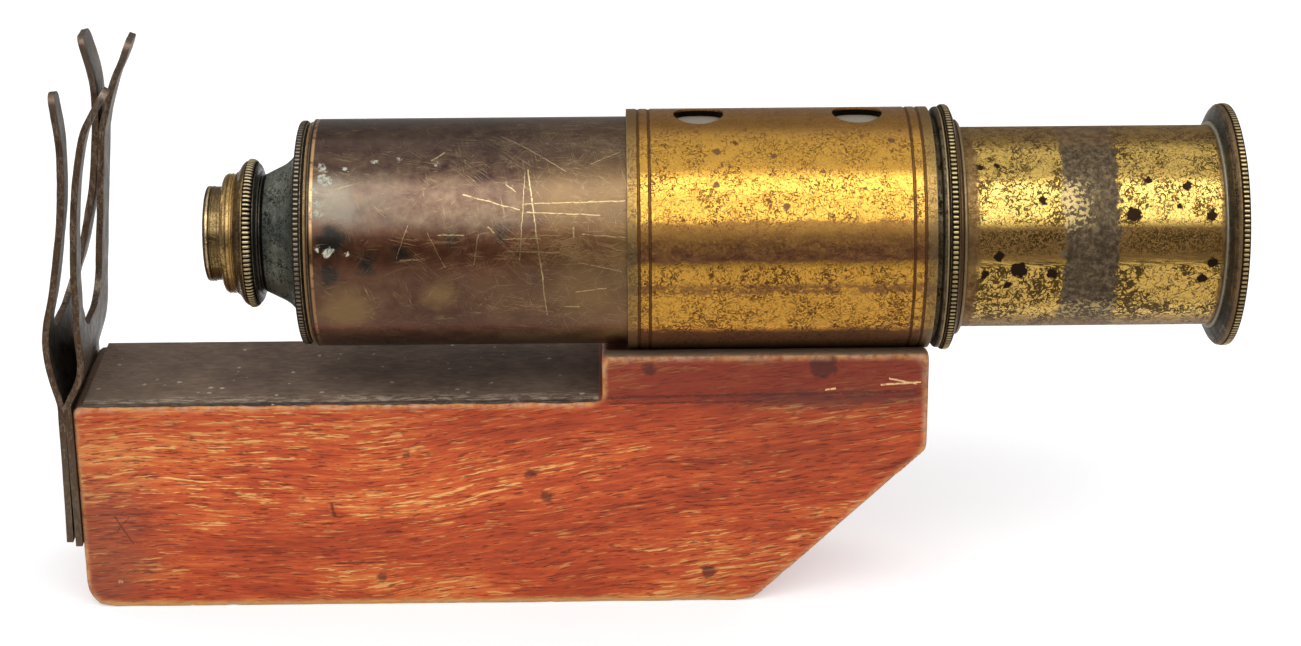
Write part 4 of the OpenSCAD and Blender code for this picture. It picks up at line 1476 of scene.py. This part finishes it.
class MICROSCOPE_OT_objective(bpy.types.Operator):
    """Turn the objective's mount and its two cells, and mill its crest"""

    bl_idname = "microscope.objective"
    bl_label = "Objective"

    def execute(self, context):
        settings = context.scene.microscope_milling
        tip_radius, cell_radius = span("front_cell")[2], span("objective_cell")[2]
        crest = span("objective_mount")[2]
        mount = NOSE - 4.8
        web_back = mount - 0.7
        round_radius = 1.65
        middle = (NOSE - 2.25, crest - round_radius)
        light, lens_seat, thread, spigot = 5.2, 6.05, 6.5, 8.5
        outline = [
            (web_back, lens_seat), (web_back, spigot), (mount, spigot),
            *stepped(mount, crest, (0, -2.2), (0.25, -1.95), (0.4, -2)),
            *arc(middle, round_radius, 140, 112, 3), *arc(middle, round_radius - 0.14, 108, 44, 6),
            *arc(middle, round_radius, 40, 0, 5), (NOSE - 0.58, crest - 2.1),
            *stepped(NOSE, 0, (-0.45, 10.3), (-0.3, 9.75), (-0.05, 9.7), (-0.05, thread)),
            (NOSE + 4.4, thread), (NOSE + 4.4, light), (mount + 1.5, light), (mount + 1.5, lens_seat),
        ]
        turned_piece(
            "objective_mount_turned", outline, plain_metal("mount_brass"),
            ("body", "dull_brass", "objective_mount"), 0.07, 144,
        )
        root = round_radius - 0.13
        band = [
            *arc(middle, round_radius - 0.9, 40, 116, 2), *arc(middle, root - 0.1, 116, 114, 1),
            *arc(middle, root, 111, 41, 6), *arc(middle, root - 0.1, 38, 36, 1),
        ]
        milled_piece(
            "objective_milling", band, settings.objective_pitch, 1.3 * settings.depth, crest - 1.45,
            milled_brass("objective_ridges", (0.8, 0.65, 0.38), (0.012, 0.01, 0.009)),
            ("body", "dull_brass"), 0.35,
        )
        outline = [
            (CELL + 0.6, 4.6), (CELL + 0.6, 6.55), (CELL, 6.55),
            *stepped(CELL, cell_radius, (0, -0.75), (0.22, -0.25), (0.65, 0)),
            *groove(CELL + 1.05, cell_radius, 0.26, 0.16),
            *stepped(mount, cell_radius, (-0.38, 0), (-0.3, -0.3), (-0.2, -0.3), (-0.12, -0.05)),
            (mount, cell_radius - 0.05),
            (mount, spigot + PLAY), (web_back, spigot + PLAY), (web_back, 5.65), (CELL + 0.9, 5.65),
            (CELL + 0.9, 4.6),
        ]
        turned_piece(
            "objective_cell_turned", outline, plain_metal("objective_brass"),
            ("body", "dull_brass", "objective_cell"), 0.07, 144,
        )
        outline = [
            (TIP, 4.7), *stepped(TIP, tip_radius, (0, -0.45), (0.12, -0.12), (0.4, 0)),
            *groove(TIP + 0.98, tip_radius, 0.3, 0.18), (TIP + 1.3, tip_radius),
            (TIP + 1.4, tip_radius - 0.12),
            *stepped(CELL, tip_radius, (-0.55, -0.12), (-0.45, 0), (-0.1, 0), (0, -0.1)),
            (CELL, 6.5), (CELL + 0.6, 6.5), (CELL + 0.6, 5.05), (TIP + 1, 5.05), (TIP + 1, 4.1),
        ]
        turned_piece(
            "front_cell_turned", outline, plain_metal("objective_brass"),
            ("body", "dull_brass", "front_cell"), 0.06, 144,
        )
        return {"FINISHED"}


class MICROSCOPE_OT_collar(bpy.types.Operator):
    """Turn the collar and mill its crest"""

    bl_idname = "microscope.collar"
    bl_label = "Collar"

    def execute(self, context):
        settings = context.scene.microscope_milling
        start, end, radius = span("collar")
        guide = span("draw_tube_guide")[2] + 0.02
        bore = span("draw_tube")[2] + 0.15
        crest, crest_end, foot, step = start + 2.15, start + 3.5, 18.7, 18.1
        outline = [
            (start, guide), (start, foot), (start + 1, foot), (start + 1, radius - 0.9),
            *arc((start + 1.45, radius - 0.8), 0.45, 180, 90, 4),
            *stepped(start, radius, (1.78, -0.32), (1.86, -0.62), (2.02, -0.62), (2.1, -0.3)),
            (crest, radius - 0.3),
            *stepped(crest_end, radius, (0, -0.3), (0.1, -0.5), (0.3, -0.9), (0.42, -1.9)),
            (crest_end + 0.5, step + 0.25), (crest_end + 0.75, step + 0.22),
            *groove(crest_end + 1, step, 0.2, 0.14), (crest_end + 1.2, step),
            *stepped(end, step, (-0.3, -0.05), (-0.08, -0.3), (0, -0.55)),
            (end, bore), (end - 2, bore), (end - 2, guide),
        ]
        turned_piece(
            "collar_turned", outline, plain_metal("collar_brass"), ("body", "dull_brass", "collar"), 0.07
        )
        milled_piece(
            "collar_milling", crest_band(crest, crest_end, radius - 0.2, 0.9),
            settings.collar_pitch, settings.depth, radius - 0.5,
            milled_brass("collar_ridges", (0.66, 0.52, 0.25), (0.022, 0.016, 0.01)),
            ("body", "dull_brass"), 0.2,
        )
        return {"FINISHED"}


# How far the shown draw tube runs into the bell, in millimetres
TUBE_OVERLAP = 0.8


class MICROSCOPE_OT_draw_tube(bpy.types.Operator):
    """Turn the spotted draw tube"""

    bl_idname = "microscope.draw_tube"
    bl_label = "Draw tube"

    def execute(self, context):
        start, end, radius = span("draw_tube")
        inside, end = radius - TUBE_WALL, end + TUBE_OVERLAP
        outline = [(start, inside), (start, radius), (end, radius), (end, inside)]
        turned_piece(
            "draw_tube_shell", outline, spotted_lacquer(), ("eyepiece", "spotted_brass", "draw_tube"),
            waviness=0.03, stride=2.5,
        )
        return {"FINISHED"}


class MICROSCOPE_OT_eyepiece(bpy.types.Operator):
    """Turn the eyepiece bell, mill its rim and set the eye lens in it"""

    bl_idname = "microscope.eyepiece"
    bl_label = "Eyepiece"

    def execute(self, context):
        settings = context.scene.microscope_milling
        tube_radius = span("draw_tube")[2]
        start, end, radius = span("eyepiece_flange")
        cell_start, floor_at, cell_radius = span("eye_lens_cell")
        foot = TUBE_END + TUBE_OVERLAP
        floor_radius = cell_radius + PLAY
        width, deep = radius - 1.1 - floor_radius, end - floor_at
        dish = (width * width + deep * deep) / (2 * deep)
        dish_angle = math.degrees(math.asin(width / dish))
        spigot = tube_radius - TUBE_WALL - PLAY
        milled_width = 1.25
        outline = [
            (start, floor_radius), (start, spigot), (foot, spigot),
            *stepped(foot, tube_radius, (0, 0.25), (0.12, 0.55), (0.26, 0.62), (0.34, 0.55)),
            *stepped(foot, radius, (0.6, -2.6), (1, -1.4), (1.45, -0.5), (1.8, -0.14)),
            *stepped(end - milled_width, radius, (-0.2, -0.08), (-0.08, -0.28)),
            (end - 0.08, radius - 0.3), (end, radius - 0.45),
            *arc((floor_at + dish, floor_radius), dish, 180 - dish_angle, 180, 10),
        ]
        turned_piece(
            "eyepiece_bell", outline, plain_metal("flange_brass"),
            ("eyepiece", "dull_brass", "eyepiece_flange"), 0.07,
        )
        milled_piece(
            "eyepiece_milling", crest_band(end - milled_width - 0.08, end - 0.02, radius - 0.2, 0.6),
            settings.eyepiece_pitch, 0.85 * settings.depth, radius - 0.45,
            milled_brass("eyepiece_ridges", (0.7, 0.53, 0.26), (0.03, 0.021, 0.012)),
            ("eyepiece", "dull_brass"), 0.16,
        )
        lens_radius = span("eye_lens")[2] + PLAY
        ring_start, ring_end, ring_radius = span("eye_lens_ring")
        seat, light = ring_radius + PLAY, 7.4
        outline = [
            (cell_start, light), (cell_start, cell_radius), (floor_at, cell_radius),
            *[(floor_at - 0.02 - 0.16 * (i % 2), cell_radius - 0.35 - 0.5 * i) for i in range(5)],
            (floor_at, seat), (floor_at - 0.8, seat), (floor_at - 0.8, lens_radius),
            (cell_start + 2, lens_radius), (cell_start + 2, light),
        ]
        turned_piece(
            "eye_lens_cell_turned", outline, plain_metal("black_brass"),
            ("eyepiece", "blackened_brass", "eye_lens_cell"), 0.05, 144,
        )
        outline = [
            (ring_start, lens_radius - 0.85), (ring_start, ring_radius), (ring_end, ring_radius),
            (ring_end, lens_radius - 0.35),
        ]
        turned_piece(
            "eye_lens_ring_turned", outline, plain_metal("ring_brass"),
            ("eyepiece", "lacquered_brass", "eye_lens_ring"), 0.07, 144,
        )
        return {"FINISHED"}


def leaf_line(knots):
    """A smooth line of (place, height) points through a leaf's knots."""
    line = []
    steps = 12
    for i in range(len(knots) - 1):
        a, b = knots[max(i - 1, 0)], knots[i]
        c, d = knots[i + 1], knots[min(i + 2, len(knots) - 1)]
        for step in range(steps):
            t = step / steps
            line.append(tuple(
                0.5 * (2 * b[k] + (c[k] - a[k]) * t + (2 * a[k] - 5 * b[k] + 4 * c[k] - d[k]) * t ** 2
                       + (3 * b[k] - a[k] - 3 * c[k] + d[k]) * t ** 3)
                for k in (0, 1)
            ))
    return line + [knots[-1]]


def leaf_heights(bottom, bend, gate, gate_radius, top, tip_radius):
    """Heights of the rows of a leaf's mesh, close together where its outline is round."""
    def even(start, end, stride):
        """Heights at about that stride, without the last one."""
        count = max(1, round((end - start) / stride))
        return [start + (end - start) * i / count for i in range(count)]

    heights = even(bottom, bend - 1, 1.5) + even(bend - 1, bend + 3, 0.4) + even(bend + 3, gate, 1)
    heights += [gate + gate_radius * (1 - math.cos(math.radians(9 * i))) for i in range(10)]
    heights += even(gate + gate_radius, top - tip_radius, 1)
    heights += [top - tip_radius * (1 - math.sin(math.radians(12 * i))) for i in range(8)]
    return heights


def prong_edges(height, half_width, settings, top):
    """The four edges of the two prongs at a height: near outer, near inner, far inner, far outer."""
    radius = settings.gate_radius / MM
    below = max(0, settings.gate_height / MM + radius - max(height, settings.gate_height / MM))
    corner = radius - math.sqrt(max(radius * radius - below * below, 0))
    tip = settings.tip_radius / MM
    above = max(0, height - (top - tip))
    inset = tip - math.sqrt(max(tip * tip - above * above, 0))
    near_inner = -half_width + settings.near_prong / MM + corner
    far_inner = half_width - settings.far_prong / MM - corner
    return -half_width + inset, near_inner - inset, far_inner + inset, half_width - inset


def leaf_piece(name, knots, lean, settings):
    """One leaf: a plate from its foot over its bend to two prongs, each with its own line."""
    foot_node, blade_node = name + "_foot", name + "_blade"
    foot_low, foot_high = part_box(foot_node)
    block_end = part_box("wood_block")[0].x / MM
    foot_at = (foot_low.x + foot_high.x) / 2 / MM
    half_width = foot_high.y / MM
    bend = foot_high.z / MM + 0.6
    lines = [leaf_line([(foot_at, bend)] + [(block_end + x, z) for x, z in side]) for side in knots]
    top = lines[0][-1][1]
    gate = settings.gate_height / MM
    stretch = [(line[-1][1] - gate) / (top - gate) for line in lines]
    heights = leaf_heights(
        foot_low.z / MM, bend, gate, settings.gate_radius / MM, top, settings.tip_radius / MM
    )
    splay = settings.splay / MM * lean
    columns = 6
    inner_edges = prong_edges(top - 10, half_width, settings, top)[1:3]

    def place_at(y, height):
        """The place of the leaf's middle line at a height, between its two lines."""
        if height < bend:
            return foot_at - splay * ((bend - height) / (bend - heights[0])) ** 1.5, height
        share = min(1, max(0, (y - inner_edges[0]) / (inner_edges[1] - inner_edges[0])))
        share = share * share * (3 - 2 * share)
        spots = []
        for line, factor in zip(lines, stretch):
            z = gate + (height - gate) * factor if height > gate else height
            spots.append((float(np.interp(z, [p[1] for p in line], [p[0] for p in line])), z))
        return tuple(a + (b - a) * share for a, b in zip(*spots))

    work = bmesh.new()
    rows = []
    for height in heights:
        edges = [
            edge + 0.16 * wobble(height * 0.16, 7 * i, block_end + foot_at)
            for i, edge in enumerate(prong_edges(height, half_width, settings, top))
        ]
        rows.append([
            [start + (end - start) * i / columns for i in range(columns + 1)]
            for start, end in zip(edges, edges[1:])
        ])
    made = {}

    def vert(row, part, index):
        """The point of a row's part, shared where two parts meet."""
        if part == 1 and index in (0, columns):
            part, index = (0, columns) if index == 0 else (2, 0)
        key = (row, part, index)
        if key not in made:
            y, height = rows[row][part][index], heights[row]
            dent = 0.1 * wobble(y * 0.22, height * 0.17, foot_at)
            dent += 0.04 * wobble(y * 0.7, height * 0.6, foot_at)
            if height < bend - 2:
                dent *= 0.3
            x, z = place_at(y, height)
            made[key] = work.verts.new(((x + dent) * MM, y * MM, z * MM))
        return made[key]

    for row in range(len(rows) - 1):
        for part in (0, 1, 2) if heights[row + 1] <= gate + 1e-6 else (0, 2):
            for i in range(columns):
                work.faces.new((
                    vert(row, part, i), vert(row, part, i + 1),
                    vert(row + 1, part, i + 1), vert(row + 1, part, i),
                ))
    bmesh.ops.recalc_face_normals(work, faces=work.faces)
    piece = mesh_object(name, mesh_from(work, name), spring_brass())
    modify(piece, "SOLIDIFY", thickness=foot_high.x - foot_low.x, offset=0, use_even_offset=True)
    face_outwards(piece.data)
    screw_low, screw_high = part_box("leaf_screws")
    head, shank = SCREW_HEAD_RADIUS, 1.8 * MM
    height = (screw_low.z + screw_high.z) / 2
    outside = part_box("outer_leaf_foot")[0].x
    for y in (screw_low.y + head, screw_high.y - head):
        cut_away(piece, cone_cutter((outside - 2 * MM, y, height), (1, 0, 0), shank, shank, 6 * MM, 48))
        cut_away(piece, cone_cutter(
            (outside - 0.5 * MM, y, height), (1, 0, 0), head + 0.55 * MM, shank,
            SCREW_HEAD_DEPTH + 0.5 * MM, 48,
        ))
    sharp = math.radians(50)
    modify(piece, "BEVEL", width=0.2 * MM, segments=2, limit_method="ANGLE", angle_limit=sharp)
    piece.data.shade_smooth()
    mark_edges(piece.data, 1)
    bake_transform(piece)
    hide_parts(foot_node, blade_node)


class MICROSCOPE_OT_leaves(bpy.types.Operator):
    """Bend the two spring leaves of the slide holder"""

    bl_idname = "microscope.leaves"
    bl_label = "Spring leaves"

    def execute(self, context):
        settings = context.scene.microscope_leaf
        outer = [
            [(-3.35, 48.4), (-1.15, 59.6), (0.95, 72.1), (1.65, 83), (0.9, 91.9)],
            [(-3.15, 48.4), (-0.7, 56.5), (1.37, 65), (2.3, 69.2), (3.2, 76), (3.85, 83.5), (3.6, 88.5),
             (2.1, 95.2)],
        ]
        inner = [
            [(2.1, 44), (2.05, 53), (2.65, 66.5), (3.85, 77.5), (5.4, 84.4), (6.9, 87.8), (9.7, 92.4)],
            [(1.3, 44), (2.2, 53), (3.25, 64.4), (4.15, 74), (4.85, 79.5), (6.9, 86.6), (9, 91.1),
             (10.2, 94.4)],
        ]
        leaf_piece("outer_leaf", outer, 1.4, settings)
        leaf_piece("inner_leaf", inner, 0.2, settings)
        return {"FINISHED"}


def screw_shape(head_radius, shank_radius, head_depth, reach):
    """The mesh of a slotted countersunk screw along +X, with its head face near x = 0."""
    dome = 0.22 * MM
    profile = [
        (-dome, 0), (-dome * 0.9, head_radius * 0.5), (-0.02 * MM, head_radius * 0.96),
        (0.08 * MM, head_radius), (head_depth, shank_radius), (reach - 2 * MM, shank_radius), (reach, 0),
    ]
    work = bmesh.new()
    ring = [work.verts.new((x, 0, out)) for x, out in profile]
    lines = [work.edges.new(pair) for pair in zip(ring, ring[1:])]
    bmesh.ops.spin(
        work, geom=ring + lines, cent=(0, 0, 0), axis=(1, 0, 0), angle=2 * math.pi, steps=48,
        use_merge=True,
    )
    bmesh.ops.remove_doubles(work, verts=work.verts, dist=1e-7)
    bmesh.ops.recalc_face_normals(work, faces=work.faces)
    screw = mesh_object("screw", mesh_from(work, "screw"), plain_metal("screw_metal"))
    slot = bmesh.new()
    bmesh.ops.create_cube(slot, size=1)
    size = Matrix.Diagonal((1.1 * MM, 0.7 * MM, 3 * head_radius, 1))
    bmesh.ops.transform(slot, matrix=size, verts=slot.verts)
    cut_away(screw, new_object("slot", mesh_from(slot, "slot")))
    shape = screw.data
    bpy.data.objects.remove(screw)
    return shape


class MICROSCOPE_OT_screws(bpy.types.Operator):
    """Drive the two wood screws through the feet of the leaves"""

    bl_idname = "microscope.screws"
    bl_label = "Leaf screws"

    def execute(self, context):
        low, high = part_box("leaf_screws")
        head = SCREW_HEAD_RADIUS
        piece = grow(
            "leaf_screw_pair", screw_shape(head, 1.6 * MM, SCREW_HEAD_DEPTH, high.x - low.x),
            screw_tree(), count=2, seed=4, finish=plain_metal("screw_metal"),
            first_place=(low.x, low.y + head, (low.z + high.z) / 2),
            spacing=(0, high.y - low.y - 2 * head, 0),
        )
        face_outwards(piece.data)
        piece.data.set_sharp_from_angle(angle=math.radians(35))
        mark_edges(piece.data, 0)
        add_piece(piece, "base", "screw_steel", "leaf_screws")
        return {"FINISHED"}


def lens_outline(start, end, radius, front, back, steps=10):
    """Outline of a lens whose faces bulge by the given heights, from pole to pole."""
    shares = [i / steps for i in range(steps + 1)]
    points = [(start + front * share ** 2, radius * share) for share in shares]
    return points + [(end - back * share ** 2, radius * share) for share in reversed(shares)]


class MICROSCOPE_OT_lenses(bpy.types.Operator):
    """Grind the lenses and dress the fittings that stay inside the tubes"""

    bl_idname = "microscope.lenses"
    bl_label = "Lenses and fittings"

    def execute(self, context):
        for node, body, front, back in (
            ("front_lens", "body", 0.7, 0.3), ("eye_lens", "eyepiece", 1.3, 0.25),
        ):
            outline = lens_outline(*span(node), front, back)
            role = (body, "lens_glass", node)
            turned_piece(node + "_glass", outline, lens_glass(), role, 0.02, 128)
        for material, *nodes in (
            (lens_glass(), "middle_lens", "back_lens", "field_lens"),
            (plain_metal("black_brass"), "objective_stop", "field_stop"),
            (plain_metal("inner_brass"), "draw_tube_guide", "field_lens_cell"),
            (plain_metal("screw_metal"), "sleeve_screws"),
        ):
            for node in nodes:
                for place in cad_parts[node].material_slots:
                    place.material = material
        return {"FINISHED"}


# Stage
def light_panel(name, place, aim, size, radiance):
    """A large soft light that faces a point, with the given radiance."""
    data = bpy.data.lights.new(name, "AREA")
    data.shape = "RECTANGLE"
    data.size, data.size_y = size
    data.energy = radiance * math.pi * size[0] * size[1]
    lamp = new_object(name, data)
    lamp.location = place
    lamp.rotation_euler = (Vector(aim) - Vector(place)).to_track_quat("-Z", "Y").to_euler()


def stage_material(name):
    """A new empty material of the stage, with its graph."""
    made = bpy.data.materials.new(name)
    made.use_nodes = True
    made.node_tree.nodes.clear()
    return made, Graph(made.node_tree)


def stage_sheet(name, corners, material):
    """A flat sheet of the stage."""
    mesh = bpy.data.meshes.new(name)
    mesh.from_pydata(corners, [], [tuple(range(len(corners)))])
    mesh.materials.append(material)
    sheet = new_object(name, mesh)
    return sheet


def floor_material(tint):
    """A pale floor that keeps its shadow, and that the camera sees white farther away."""
    made, graph = stage_material("pale_floor")
    paint = graph.add("ShaderNodeBsdfDiffuse", {"Color": tint})
    away = graph.length(graph.add("ShaderNodeTexCoord", output="Object"))
    glow = graph.ease(away, 0.4, 1.5, 0.36, 1)
    lift = graph.add("ShaderNodeEmission", {"Color": (1, 1, 1), "Strength": glow})
    both = graph.add("ShaderNodeAddShader", {0: paint, 1: lift})
    rays = graph.add("ShaderNodeLightPath", output="Is Camera Ray")
    shown = graph.add("ShaderNodeMixShader", {0: rays, 1: paint, 2: both})
    graph.add("ShaderNodeOutputMaterial", {"Surface": shown})
    return made


def card(name, edges, radiance):
    """A wide card between two (y, z) edges, of even brightness, which only reflections show."""
    made, graph = stage_material(name)
    glow = graph.add("ShaderNodeEmission", {"Color": (1, 0.93, 0.87), "Strength": radiance})
    graph.add("ShaderNodeOutputMaterial", {"Surface": glow})
    (near_y, near_z), (far_y, far_z) = edges
    half = 1.6
    corners = [(-half, near_y, near_z), (half, near_y, near_z), (half, far_y, far_z), (-half, far_y, far_z)]
    sheet = stage_sheet(name, corners, made)
    sheet.visible_camera = False
    sheet.visible_diffuse = False
    sheet.visible_shadow = False
    sheet.visible_transmission = False


class MICROSCOPE_OT_stage(bpy.types.Operator):
    """Set the camera, the pale floor, the cards for reflections and the soft lights"""

    bl_idname = "microscope.stage"
    bl_label = "Stage"

    def execute(self, context):
        settings = context.scene.microscope_stage
        scene = context.scene
        camera = new_object("camera", bpy.data.cameras.new("camera"))
        camera.data.sensor_width = 36
        camera.data.lens = settings.camera_lens
        pitch, yaw, roll = settings.camera_pitch, settings.camera_yaw, settings.camera_roll
        forward = Vector((
            math.sin(yaw) * math.cos(pitch), math.cos(yaw) * math.cos(pitch), -math.sin(pitch)
        ))
        level = forward.cross(Vector((0, 0, 1))).normalized()
        upright = level.cross(forward)
        right = math.cos(roll) * level + math.sin(roll) * upright
        up = math.cos(roll) * upright - math.sin(roll) * level
        turn = Matrix((right, up, -forward)).transposed().to_4x4()
        camera.matrix_world = Matrix.Translation(Vector(settings.camera_place)) @ turn
        scene.camera = camera
        reach = 7
        stage_sheet("floor", [(-reach, -reach, 0), (reach, -reach, 0), (reach, reach, 0),
                              (-reach, reach, 0)], floor_material(settings.floor))
        far, mat, close, lift = 0.75, 0.235, 0.02, 0.001
        card("front_card", [(-far, 0), (-far, 0.29)], 0.1)
        card("front_mat", [(-far, lift), (-mat, lift)], 0.13)
        card("near_mat", [(-mat, lift), (-close, lift)], 0.6)
        card("back_card", [(far, 0), (far, 1.1)], 0.24)
        aim = (0, 0, AXIS_HEIGHT)
        light_panel("key", (0, -0.74, 0.92), aim, (2.4, 0.98), settings.key_light)
        light_panel("core", (0, -0.46, 0.89), aim, (2.4, 0.22), settings.core_light)
        light_panel("rear_left", (-1.15, 0.85, 0.95), aim, (0.9, 0.8), settings.rear_light)
        light_panel("rear_right", (1.15, 0.85, 0.95), aim, (0.9, 0.8), settings.rear_light)
        world = bpy.data.worlds.new("room")
        world.use_nodes = True
        world.node_tree.nodes.clear()
        graph = Graph(world.node_tree)
        rays = graph.add("ShaderNodeLightPath", output="Is Camera Ray")
        white, room = [
            graph.add("ShaderNodeBackground", {"Color": (1, 1, 1), "Strength": strength})
            for strength in (1, settings.sky)
        ]
        shown = graph.add("ShaderNodeMixShader", {0: rays, 1: room, 2: white})
        graph.add("ShaderNodeOutputWorld", {"Surface": shown})
        scene.world = world
        scene.view_settings.view_transform = "Standard"
        return {"FINISHED"}


class MICROSCOPE_PT_panel(bpy.types.Panel):
    """Lists the operators that build the microscope"""

    bl_label = "Microscope"
    bl_idname = "MICROSCOPE_PT_panel"
    bl_space_type = "VIEW_3D"
    bl_region_type = "UI"
    bl_category = "Microscope"

    def draw(self, context):
        for operator in OPERATORS:
            self.layout.operator(operator.bl_idname)
        for name in SETTINGS:
            box = self.layout.box()
            group = getattr(context.scene, name)
            for key in group.bl_rna.properties.keys():
                if key not in {"rna_type", "name"}:
                    box.prop(group, key)


SETTINGS = {
    "microscope_block": BlockSettings, "microscope_brass": BrassSettings,
    "microscope_milling": MillingSettings, "microscope_leaf": LeafSettings,
    "microscope_stage": StageSettings,
}
OPERATORS = [
    MICROSCOPE_OT_block, MICROSCOPE_OT_lining, MICROSCOPE_OT_sleeve, MICROSCOPE_OT_body_tube,
    MICROSCOPE_OT_nose_cap, MICROSCOPE_OT_objective, MICROSCOPE_OT_collar,
    MICROSCOPE_OT_draw_tube, MICROSCOPE_OT_eyepiece, MICROSCOPE_OT_leaves, MICROSCOPE_OT_screws,
    MICROSCOPE_OT_lenses, MICROSCOPE_OT_stage,
]
CLASSES = [*SETTINGS.values(), *OPERATORS, MICROSCOPE_PT_panel]


def register():
    """Registers the classes and hangs the settings on the scene."""
    for item in CLASSES:
        bpy.utils.register_class(item)
    for name, group in SETTINGS.items():
        setattr(bpy.types.Scene, name, bpy.props.PointerProperty(type=group))


def unregister():
    """Takes the settings and the classes away again."""
    for name in SETTINGS:
        delattr(bpy.types.Scene, name)
    for item in reversed(CLASSES):
        bpy.utils.unregister_class(item)


def main():
    """Builds everything in order and writes the two boxes."""
    register()
    for operator in OPERATORS:
        group, name = operator.bl_idname.split(".")
        getattr(getattr(bpy.ops, group), name)()


if __name__ == "__main__":
    main()
